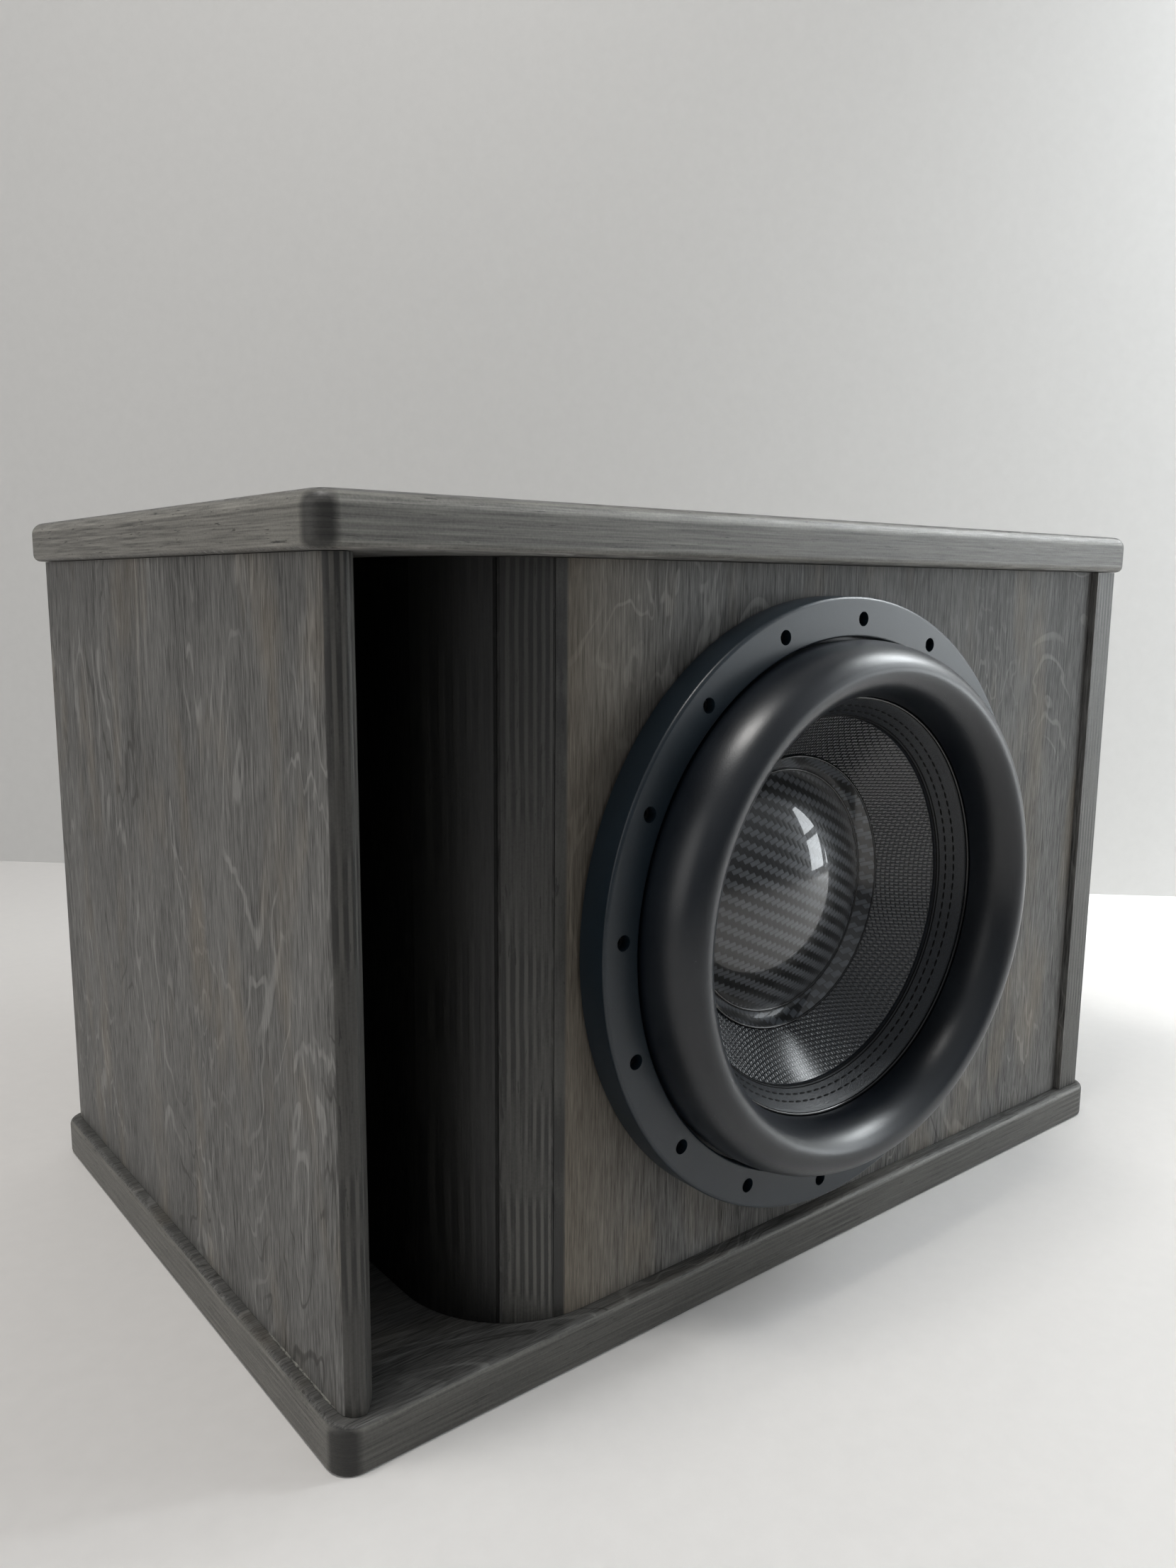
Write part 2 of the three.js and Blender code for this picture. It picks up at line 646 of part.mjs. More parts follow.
driver.add(spider('rear_spider', rearSpiderBottom));
driver.add(spider('front_spider', frontSpiderBottom));
driver.add(piece('spider_spacer', turned(
  ringProfile(SPIDER_OUTER_RADIUS - SPIDER_LAND, SPIDER_OUTER_RADIUS, spacerBottom, spacerBottom + SPIDER_SPACER),
  40), 'plastic'));

// ---- Motor ----
const topPlateTop = BOWL_BOTTOM - PIECE_GAP;
const topPlateBottom = topPlateTop - TOP_PLATE_THICKNESS;
const frontMagnetTop = topPlateBottom - PIECE_GAP;
const rearMagnetTop = frontMagnetTop - MAGNET_THICKNESS - PIECE_GAP;
const backPlateTop = rearMagnetTop - MAGNET_THICKNESS - PIECE_GAP;
const poleRadius = FORMER_RADIUS - FORMER_THICKNESS - POLE_CLEARANCE;

function magnet(name, top) {
  return piece(name, turned(ringProfile(MAGNET_BORE, MAGNET_RADIUS, top - MAGNET_THICKNESS, top), 40), 'ferrite');
}

driver.add(piece('top_plate', turned(
  ringProfile(plateBore, TOP_PLATE_RADIUS, topPlateBottom, topPlateTop), 40), 'steel'));
driver.add(magnet('front_magnet', frontMagnetTop));
driver.add(magnet('rear_magnet', rearMagnetTop));
driver.add(piece('pole_and_back_plate', turned([
  [VENT_RADIUS, topPlateTop],
  [poleRadius, topPlateTop],
  [poleRadius, backPlateTop],
  [BACK_PLATE_RADIUS, backPlateTop],
  [BACK_PLATE_RADIUS, backPlateTop - BACK_PLATE_THICKNESS],
  [VENT_RADIUS, backPlateTop - BACK_PLATE_THICKNESS],
], 40), 'steel'));

const bootInner = MAGNET_RADIUS + PIECE_GAP;
const bootLip = 3;
driver.add(piece('magnet_boot', turned([
  [bootInner, frontMagnetTop],
  [bootInner + BOOT_THICKNESS, frontMagnetTop],
  [bootInner + BOOT_THICKNESS, backPlateTop - bootLip],
  [BACK_PLATE_RADIUS + PIECE_GAP, backPlateTop - bootLip],
  [BACK_PLATE_RADIUS + PIECE_GAP, backPlateTop],
  [bootInner, backPlateTop],
], 40), 'rubber'));

// ---- Driver terminals and the braided leads to the coil ----
const BLOCK_SIZE = { radial: 11, axial: 14, tangential: 24 };
const LEAD_OFFSET = 6;
const blockInner = spiderWallRadius + CAST_WALL + PIECE_GAP;
const blockX = blockInner + BLOCK_SIZE.radial / 2;
const blockY = (bowlNeckHeight + SPIDER_SHELF) / 2;
const blockTop = blockY + BLOCK_SIZE.axial / 2;

driver.add(piece('driver_terminal', new THREE.BoxGeometry(
  BLOCK_SIZE.radial, BLOCK_SIZE.axial, BLOCK_SIZE.tangential).translate(blockX, blockY, 0), 'plastic'));

function leadRoute(z) {
  const coilEnd = FORMER_RADIUS + LEAD_RADIUS + PIECE_GAP;
  return [
    [blockX, blockTop + PIECE_GAP, z],
    [blockX - 1, blockTop + 5, z],
    [blockX - 8, blockTop + 9, z],
    [blockX - 22, blockTop + 8, z],
    [blockX - 36, blockTop + 3, z],
    [coilEnd + 6, blockTop + 1, z],
    [coilEnd + 1, blockTop + 2.5, z],
  ];
}

driver.add(piece('coil_lead_plus', tube(leadRoute(-LEAD_OFFSET), LEAD_RADIUS, 16), 'braid'));
driver.add(piece('coil_lead_minus', tube(leadRoute(LEAD_OFFSET), LEAD_RADIUS, 16), 'braid'));

// ---- Terminal cup. In its group +Y is outwards and the back panel's face is y = 0. ----
const terminal = new THREE.Group();
terminal.position.set(cupX, backFace, CUP_HEIGHT);
cabinet.add(terminal);

const cupFlangeBack = PIECE_GAP + GASKET_THICKNESS + PIECE_GAP;
const cupInner = CUP_RADIUS - CUP_WALL;
const cupFloor = cupFlangeBack - CUP_DEPTH;
const cupScrewRadius = (cupHoleRadius + CUP_FLANGE_RADIUS) / 2;
const cupScrewHole = 1.6;

function atCupScrews(make) {
  return [45, 135, 225, 315].map((degrees) => {
    const angle = THREE.MathUtils.degToRad(degrees);
    return make(cupScrewRadius * Math.cos(angle), cupScrewRadius * Math.sin(angle));
  });
}

function cupGeometry() {
  const flangeFront = cupFlangeBack + CUP_FLANGE_THICKNESS;
  const dish = turned([
    [0, cupFloor],
    [cupInner, cupFloor],
    [cupInner, flangeFront],
    [CUP_FLANGE_RADIUS - 1, flangeFront],
    [CUP_FLANGE_RADIUS, flangeFront - 1],
    [CUP_FLANGE_RADIUS, cupFlangeBack],
    [CUP_RADIUS, cupFlangeBack],
    [CUP_RADIUS, cupFloor - CUP_WALL],
    [0, cupFloor - CUP_WALL],
  ], 32);
  const screwHoles = atCupScrews((x, z) => cylinder(cupScrewHole, 20, 6).translate(x, 0, z));
  const postHoles = [-1, 1].map((side) => cylinder(POST_RADIUS + PIECE_GAP, 20, 12)
    .translate(side * POST_SPACING / 2, cupFloor, 0));
  return cut(dish, [...screwHoles, ...postHoles]);
}

function cupGasketGeometry() {
  const ring = turned(
    ringProfile(cupHoleRadius, CUP_FLANGE_RADIUS - 0.5, PIECE_GAP, PIECE_GAP + GASKET_THICKNESS), 32);
  return cut(ring, atCupScrews((x, z) => cylinder(cupScrewHole, 20, 6).translate(x, 0, z)));
}

terminal.add(piece('terminal_cup', cupGeometry(), 'plastic'));
terminal.add(piece('terminal_gasket', cupGasketGeometry(), 'rubber'));

atCupScrews((x, z) => [x, z]).forEach(([x, z], i) => {
  const seat = cupFlangeBack + CUP_FLANGE_THICKNESS + PIECE_GAP;
  const screw = piece(`terminal_screw_${i + 1}`, turned([
    [0, seat + 0.9],
    [0.9, seat + 1.7],
    [2.4, seat + 1],
    [2.8, seat],
    [1.2, seat],
    [1.2, PIECE_GAP],
    [0, PIECE_GAP],
  ], 8), 'steel');
  screw.position.set(x, 0, z);
  terminal.add(screw);
});

const postCollar = 3;
const postTop = cupFloor + PIECE_GAP + postCollar + KNOB_LENGTH - 4;
const postBottom = cupFloor - CUP_WALL - 12;

function postGeometry() {
  return turned([
    [0, postBottom],
    [POST_RADIUS, postBottom],
    [POST_RADIUS, cupFloor + PIECE_GAP],
    [KNOB_RADIUS - 1.5, cupFloor + PIECE_GAP],
    [KNOB_RADIUS - 1.5, cupFloor + PIECE_GAP + postCollar],
    [POST_RADIUS, cupFloor + PIECE_GAP + postCollar],
    [POST_RADIUS, postTop],
    [0, postTop],
  ], 12);
}

function knobGeometry() {
  const bottom = cupFloor + 2 * PIECE_GAP + postCollar;
  const top = bottom + KNOB_LENGTH;
  const bore = POST_RADIUS + PIECE_GAP;
  const body = turned([
    [bore, bottom],
    [KNOB_RADIUS - 1, bottom],
    [KNOB_RADIUS, bottom + 1],
    [KNOB_RADIUS, top - 1],
    [KNOB_RADIUS - 1, top],
    [bore, top],
  ], 16);
  const grooves = around(6, 0, () => cylinder(0.9, KNOB_LENGTH - 5, 6)
    .translate(KNOB_RADIUS + 0.2, bottom + KNOB_LENGTH / 2, 0));
  return cut(body, grooves);
}

for (const [colour, side] of [['red', -1], ['black', 1]]) {
  const post = piece(`${colour}_post`, postGeometry(), 'gold');
  const knob = piece(`${colour}_knob`, knobGeometry(), colour);
  post.position.x = side * POST_SPACING / 2;
  knob.position.x = side * POST_SPACING / 2;
  terminal.add(post, knob);
}

// ---- Insulated wires inside the chamber, from the posts to the driver's terminals ----
function wireRoute(side) {
  const startX = cupX + side * POST_SPACING / 2;
  const startY = backFace + postBottom - PIECE_GAP;
  const endX = DRIVER_X + blockX;
  const endY = baffleFront - blockY + BLOCK_SIZE.axial / 2 + PIECE_GAP;
  const endZ = driverZ - side * LEAD_OFFSET;
  const sweepX = DRIVER_X + MAGNET_RADIUS + 26 + side * 3;
  return [
    [startX, startY, CUP_HEIGHT],
    [startX, startY - 12, CUP_HEIGHT],
    [(startX + sweepX) / 2, startY - 34, CUP_HEIGHT + 6],
    [sweepX, (startY + endY) / 2, (CUP_HEIGHT + endZ) / 2],
    [sweepX - 3, endY + 40, endZ - 8],
    [endX + 5, endY + 18, endZ],
    [endX, endY + 6, endZ],
    [endX, endY, endZ],
  ];
}

cabinet.add(piece('red_wire', tube(wireRoute(-1), WIRE_RADIUS, 24), 'red'));
cabinet.add(piece('black_wire', tube(wireRoute(1), WIRE_RADIUS, 24), 'black'));

export default cabinet;
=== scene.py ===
"""Finishes the ported subwoofer cabinet: its boards, driver, terminals and studio."""
import math
import random
from functools import partial

import bmesh
import bpy
from bpy.props import FloatProperty, FloatVectorProperty, IntProperty, PointerProperty
from mathutils import Matrix, Vector


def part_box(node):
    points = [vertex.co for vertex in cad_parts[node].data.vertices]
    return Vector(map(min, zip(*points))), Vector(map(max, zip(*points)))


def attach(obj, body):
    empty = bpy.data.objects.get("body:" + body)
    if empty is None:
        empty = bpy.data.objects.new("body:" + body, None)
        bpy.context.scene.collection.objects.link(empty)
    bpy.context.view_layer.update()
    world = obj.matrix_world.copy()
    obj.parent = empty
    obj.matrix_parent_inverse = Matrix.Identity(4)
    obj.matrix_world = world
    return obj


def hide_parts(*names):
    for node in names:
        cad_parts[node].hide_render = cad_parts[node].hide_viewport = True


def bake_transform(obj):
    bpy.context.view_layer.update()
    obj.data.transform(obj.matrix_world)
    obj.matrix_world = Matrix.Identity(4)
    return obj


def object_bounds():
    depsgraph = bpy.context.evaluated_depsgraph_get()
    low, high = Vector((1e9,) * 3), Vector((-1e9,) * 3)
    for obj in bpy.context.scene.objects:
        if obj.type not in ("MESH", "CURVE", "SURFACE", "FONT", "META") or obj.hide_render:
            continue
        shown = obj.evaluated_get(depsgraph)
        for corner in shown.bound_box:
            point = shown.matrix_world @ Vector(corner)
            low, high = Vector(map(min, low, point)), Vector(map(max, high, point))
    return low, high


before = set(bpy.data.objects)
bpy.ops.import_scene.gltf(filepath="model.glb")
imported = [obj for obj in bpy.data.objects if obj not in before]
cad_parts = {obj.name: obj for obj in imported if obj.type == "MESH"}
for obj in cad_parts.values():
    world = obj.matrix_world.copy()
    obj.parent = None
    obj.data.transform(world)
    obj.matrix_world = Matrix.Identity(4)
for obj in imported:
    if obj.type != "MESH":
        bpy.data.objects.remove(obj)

bl_info = {
    "name": "Ported Subwoofer Cabinet",
    "version": (1, 0, 0),
    "blender": (4, 5, 0),
    "location": "3D View > Sidebar > Subwoofer",
    "description": "Builds the finished boards, driver, terminals and studio of a ported subwoofer cabinet",
    "category": "Object",
}

MM = 0.001
BODY = "cabinet"
CONE_BODY = "cone_assembly"
CAD_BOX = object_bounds()

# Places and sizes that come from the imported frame
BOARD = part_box("top_panel")[1].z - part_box("top_panel")[0].z
BAFFLE_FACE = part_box("front_baffle")[0].y
RIM_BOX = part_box("basket")
RIM_RADIUS = (RIM_BOX[1].x - RIM_BOX[0].x) / 2
AXIS_X = (RIM_BOX[1].x + RIM_BOX[0].x) / 2
AXIS_Z = (RIM_BOX[1].z + RIM_BOX[0].z) / 2
CUP_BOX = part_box("terminal_cup")
CUP_X = (CUP_BOX[0].x + CUP_BOX[1].x) / 2
CUP_Z = (CUP_BOX[0].z + CUP_BOX[1].z) / 2
BACK_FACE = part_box("back_panel")[1].y

# Openings in the boards, as radii in millimetres
BAFFLE_OPENING = 112.6
CUP_OPENING = 31.5


def linear(hex_colour):
    """Turns an sRGB hex value into linear red, green and blue."""
    parts = [((hex_colour >> shift) & 255) / 255 for shift in (16, 8, 0)]
    return tuple(c / 12.92 if c <= 0.04045 else ((c + 0.055) / 1.055) ** 2.4 for c in parts)


def colour(name, description, hex_colour):
    return FloatVectorProperty(
        name=name, description=description, subtype="COLOR", size=3, min=0, max=1, default=linear(hex_colour))


def length(name, description, millimetres):
    return FloatProperty(
        name=name, description=description, subtype="DISTANCE", unit="LENGTH", min=0,
        default=millimetres * MM)


class BoardSettings(bpy.types.PropertyGroup):
    """Sizes and stain of the plywood boards"""
    corner_radius: length("Plate corner", "Radius of the two plates' upright corners", 9.5)
    top_edge: length("Top edge", "Radius along the top plate's upper edge", 5.5)
    plate_edge: length("Plate edge", "Radius along the plates' inward edges", 3)
    foot_edge: length("Foot edge", "Radius along the bottom plate's lower edge", 1.5)
    nose_radius: length("Nose", "Radius of the left wall's outer front corner", 8)
    flare_radius: length("Flare", "Radius of the left wall's curve into the port", 30)
    mouth_radius: length("Mouth", "Radius of the laminated corner beside the port", 50)
    small_edge: length("Small edge", "Radius of the walls' other upright edges", 2.2)
    ply_pitch: length("Ply", "Thickness of one ply", 18 / 13)
    veneer_dark: colour("Veneer, dark", "Stain where it lies thick on the veneer", 0x373635)
    veneer_light: colour("Veneer, light", "Stain where it lies thin on the veneer", 0x848380)
    veneer_warm: colour("Veneer, warm", "Brown of the wood that shows through the stain", 0x766E62)
    ply_dark: colour("Ply, dark", "Stain in the plies cut across their grain", 0x33322F)
    ply_light: colour("Ply, light", "Stain in the plies cut along their grain", 0x77756F)
    glue: colour("Glue", "Dried glue along the left wall's foot", 0x8A8880)


class DriverSettings(bpy.types.PropertyGroup):
    """Sizes and colours of the driver"""
    roll_half_width: length("Roll half width", "Half the width of the surround's roll", 10.4)
    roll_rise: length("Roll rise", "Height of the roll over its springing line", 19)
    stitch_length: length("Stitch", "Length of one stitch", 3.7)
    stitch_gap: length("Stitch gap", "Gap between two stitches", 0.9)
    stitch_rows: IntProperty(name="Rows", description="Rows of stitches in the cone's band", default=2, min=1)
    thread_pitch: length("Cloth thread", "Distance between threads of the cone's cloth", 1.5)
    tow_width: length("Carbon tow", "Width of a tow in the dust cap's twill", 2.1)
    coat: colour("Rim coat", "Powder coat on the cast rim", 0x0F1920)
    foam: colour("Foam", "Surround's moulded foam", 0x14191F)
    band: colour("Band", "Grained band between surround and cone", 0x181E26)
    cloth: colour("Cloth", "Cone's woven cloth", 0x05070B)
    carbon: colour("Carbon", "Dust cap's carbon tows", 0x0B0C0D)


class TerminalSettings(bpy.types.PropertyGroup):
    """Sizes and colours of the terminal cup"""
    knob_flutes: IntProperty(name="Flutes", description="Flutes round each knob", default=18, min=6)
    red: colour("Red", "Red knob and wire", 0x9E1414)
    black: colour("Black", "Black knob and wire", 0x101011)
    plastic: colour("Cup", "Moulded cup", 0x17181A)


class StageSettings(bpy.types.PropertyGroup):
    """Floor, wall and lights"""
    floor: colour("Floor", "Pale floor", 0xDEDBD8)
    wall: colour("Wall", "Pale wall behind", 0xCDCCCA)
    ceiling_power: FloatProperty(
        name="Ceiling lights", description="Power of each panel overhead", unit="POWER", min=0, default=11)
    window_power: FloatProperty(
        name="Window light", description="Power of the light from the right", unit="POWER", min=0, default=13)
    wall_power: FloatProperty(
        name="Wall light", description="Power of the light on the wall", unit="POWER", min=0, default=34)
    side_power: FloatProperty(
        name="Side light", description="Power of the light from the left", unit="POWER", min=0, default=6)


# ---- Meshes ----
def turned(profile, steps, place=None):
    """Spins a closed or axis-to-axis profile of (radius, height) in millimetres about the driver's axis.

    Heights count forwards from the baffle's face. place maps a point elsewhere."""
    mesh = bmesh.new()
    put = place or on_driver
    verts = [mesh.verts.new(put(radius, height)) for radius, height in profile]
    pairs = list(zip(verts, verts[1:]))
    if profile[0][0] > 0 or profile[-1][0] > 0:
        pairs.append((verts[-1], verts[0]))
    edges = [mesh.edges.new(pair) for pair in pairs]
    centre = put(0, 0)
    bmesh.ops.spin(
        mesh, geom=verts + edges, cent=centre, axis=(0, 1, 0), angle=2 * math.pi, steps=steps, use_merge=True)
    bmesh.ops.remove_doubles(mesh, verts=mesh.verts, dist=1e-6)
    bmesh.ops.dissolve_degenerate(mesh, edges=mesh.edges, dist=1e-7)
    bmesh.ops.recalc_face_normals(mesh, faces=mesh.faces)
    return mesh


def on_driver(radius, height):
    return Vector((AXIS_X + radius * MM, BAFFLE_FACE - height * MM, AXIS_Z))


def on_cup(radius, height):
    return Vector((CUP_X + radius * MM, BACK_FACE + height * MM, CUP_Z))


def arc(centre, half_width, rise, start, end, steps):
    """Points of an ellipse's arc, with angles in degrees."""
    angles = [math.radians(start + (end - start) * i / steps) for i in range(steps + 1)]
    return [(centre[0] + half_width * math.cos(a), centre[1] + rise * math.sin(a)) for a in angles]


def bead(radius, height, size, sides, steps):
    """A ring round the driver's axis, of a thin round section."""
    return turned(arc((radius, height), size, size, 0, 360 - 360 / sides, sides - 1), steps)


def upright_board(corners, low, high):
    """A board that stands between two heights: corners are (x, y, radius) in metres, seen from above."""
    mesh = bmesh.new()
    verts = [mesh.verts.new((x, y, low)) for x, y, _ in corners]
    face = mesh.faces.new(verts)
    raised = bmesh.ops.extrude_face_region(mesh, geom=[face])
    bmesh.ops.translate(
        mesh, vec=(0, 0, high - low), verts=[v for v in raised["geom"] if isinstance(v, bmesh.types.BMVert)])
    bmesh.ops.recalc_face_normals(mesh, faces=mesh.faces)
    for x, y, radius in corners:
        if radius > 0:
            round_upright(mesh, x, y, radius)
    return mesh


def round_upright(mesh, x, y, radius):
    for edge in list(mesh.edges):
        upright = abs(edge.verts[0].co.z - edge.verts[1].co.z) > 1e-6
        near = all(math.hypot(v.co.x - x, v.co.y - y) < 1e-7 for v in edge.verts)
        if upright and near:
            half = (math.pi - edge.calc_face_angle()) / 2
            bmesh.ops.bevel(
                mesh, geom=[edge], offset=radius / math.tan(half), affect="EDGES", profile=0.5, material=-1,
                segments=max(4, round(radius / MM * 0.6)), offset_type="OFFSET", clamp_overlap=True)
            return


def slice_off(mesh, place, normal):
    """Cuts away what lies beyond a plane and closes the cut."""
    sliced = bmesh.ops.bisect_plane(
        mesh, geom=list(mesh.verts) + list(mesh.edges) + list(mesh.faces), dist=1e-7,
        plane_co=place, plane_no=normal, clear_outer=True)
    rim = [e for e in sliced["geom_cut"] if isinstance(e, bmesh.types.BMEdge)]
    if rim:
        bmesh.ops.holes_fill(mesh, edges=rim, sides=0)


def round_level(mesh, height, radius, segments=5):
    """Rounds every edge that lies at one height."""
    edges = [e for e in mesh.edges if all(abs(v.co.z - height) < 1e-7 for v in e.verts)]
    bmesh.ops.bevel(
        mesh, geom=edges, offset=radius, affect="EDGES", profile=0.5, material=-1, segments=segments,
        offset_type="OFFSET", clamp_overlap=True)


def block(size, centre, bevel=0.0):
    mesh = bmesh.new()
    bmesh.ops.create_cube(mesh, size=1)
    bmesh.ops.scale(mesh, vec=size, verts=mesh.verts)
    bmesh.ops.translate(mesh, vec=centre, verts=mesh.verts)
    if bevel:
        bmesh.ops.bevel(
            mesh, geom=list(mesh.edges), offset=bevel, affect="EDGES", profile=0.5, material=-1, segments=3)
    return mesh


def rod(radius, length_, centre, segments=32):
    """A round bar along Y, in metres."""
    mesh = bmesh.new()
    bmesh.ops.create_cone(
        mesh, cap_ends=True, segments=segments, radius1=radius, radius2=radius, depth=length_)
    bmesh.ops.rotate(mesh, cent=(0, 0, 0), matrix=Matrix.Rotation(math.pi / 2, 3, "X"), verts=mesh.verts)
    bmesh.ops.translate(mesh, vec=centre, verts=mesh.verts)
    return mesh


def join(meshes):
    """Puts several bmeshes into one."""
    whole = bmesh.new()
    for mesh in meshes:
        copy = bpy.data.meshes.new("part")
        mesh.to_mesh(copy)
        whole.from_mesh(copy)
        bpy.data.meshes.remove(copy)
        mesh.free()
    return whole


def around(mesh, count, phase=0.0, centre=None):
    """Repeats a mesh round the driver's axis."""
    middle = centre or on_driver(0, 0)
    copies = []
    for i in range(count):
        copy = mesh.copy()
        turn = Matrix.Rotation(phase + 2 * math.pi * i / count, 3, "Y")
        bmesh.ops.rotate(copy, cent=middle, matrix=turn, verts=copy.verts)
        copies.append(copy)
    mesh.free()
    return join(copies)


def cut(mesh, tools):
    """Takes the tools out of a mesh with a Boolean modifier, and returns the result."""
    objects = []
    for part in (mesh, tools):
        data = bpy.data.meshes.new("cutting")
        part.to_mesh(data)
        part.free()
        made = bpy.data.objects.new("cutting", data)
        bpy.context.scene.collection.objects.link(made)
        objects.append(made)
    boolean = objects[0].modifiers.new("cut", "BOOLEAN")
    boolean.operation = "DIFFERENCE"
    boolean.solver = "EXACT"
    boolean.use_self = True
    boolean.object = objects[1]
    bpy.context.view_layer.update()
    evaluated = objects[0].evaluated_get(bpy.context.evaluated_depsgraph_get())
    result = bmesh.new()
    result.from_mesh(evaluated.to_mesh())
    evaluated.to_mesh_clear()
    for made in objects:
        data = made.data
        bpy.data.objects.remove(made)
        bpy.data.meshes.remove(data)
    return result


def piece(name, mesh, material, body, stands_for=(), smooth=38, weighted=False):
    """Makes the finished object, with its place in its mesh."""
    data = bpy.data.meshes.new(name)
    mesh.to_mesh(data)
    mesh.free()
    data.materials.append(material)
    made = bpy.data.objects.new(name, data)
    bpy.context.scene.collection.objects.link(made)
    data.shade_smooth()
    data.set_sharp_from_angle(angle=math.radians(smooth))
    if weighted:
        even = made.modifiers.new("even shading", "WEIGHTED_NORMAL")
        even.keep_sharp = True
    if body:
        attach(made, body)
    if stands_for:
        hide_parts(*stands_for)
    return made


def dress(material, *nodes):
    """Gives CAD nodes that stay as they are a finished material."""
    for name in nodes:
        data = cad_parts[name].data
        data.materials.clear()
        data.materials.append(material)


def follow_cone(made):
    """Bakes a ring's place into its mesh."""
    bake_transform(made)


# ---- Materials ----
def first_output(source):
    return source.outputs[0] if isinstance(source, bpy.types.Node) else source


def add(tree, kind, inputs=None, stops=None, **settings):
    """Adds a node, sets it and links it. A node given as an input stands for its first output."""
    made = tree.nodes.new("ShaderNode" + kind)
    for key, value in settings.items():
        setattr(made, key, value)
    for key, value in (inputs or {}).items():
        socket = made.inputs[key]
        if isinstance(value, (bpy.types.Node, bpy.types.NodeSocket)):
            tree.links.new(first_output(value), socket)
        elif hasattr(socket.default_value, "__len__") and len(value) == 3 and len(socket.default_value) == 4:
            socket.default_value = (*value, 1)
        else:
            socket.default_value = value
    if stops:
        ramp = made.color_ramp
        while len(ramp.elements) < len(stops):
            ramp.elements.new(0.5)
        for element, (position, shade) in zip(ramp.elements, stops):
            element.position = position
            element.color = (*shade, 1)
    return made


def blank(name, **sockets):
    """A new material, its shader, what adds a node to it, and its coordinates in millimetres."""
    material = bpy.data.materials.new(name)
    material.use_nodes = True
    material.node_tree.nodes.clear()
    node = partial(add, material.node_tree)
    shader = node("BsdfPrincipled")
    node("OutputMaterial", {0: shader})
    for key, value in sockets.items():
        socket = shader.inputs[key.replace("_", " ")]
        socket.default_value = (*value, 1) if hasattr(value, "__len__") and len(value) == 3 else value
    place = node("TexCoord")
    mm = node("VectorMath", {0: place.outputs["Object"], "Scale": 1 / MM}, operation="SCALE")
    return material, shader, node, mm


def finish(material, shader, node, colour, roughness, height, strength, depth):
    """Gives a material its colour, its roughness where that varies, and its relief, depth in millimetres."""
    relief = node("Bump", {"Height": height, "Strength": strength, "Distance": depth * MM})
    for key, source in (("Base Color", colour), ("Roughness", roughness), ("Normal", relief)):
        if source:
            material.node_tree.links.new(first_output(source), shader.inputs[key])
    return material


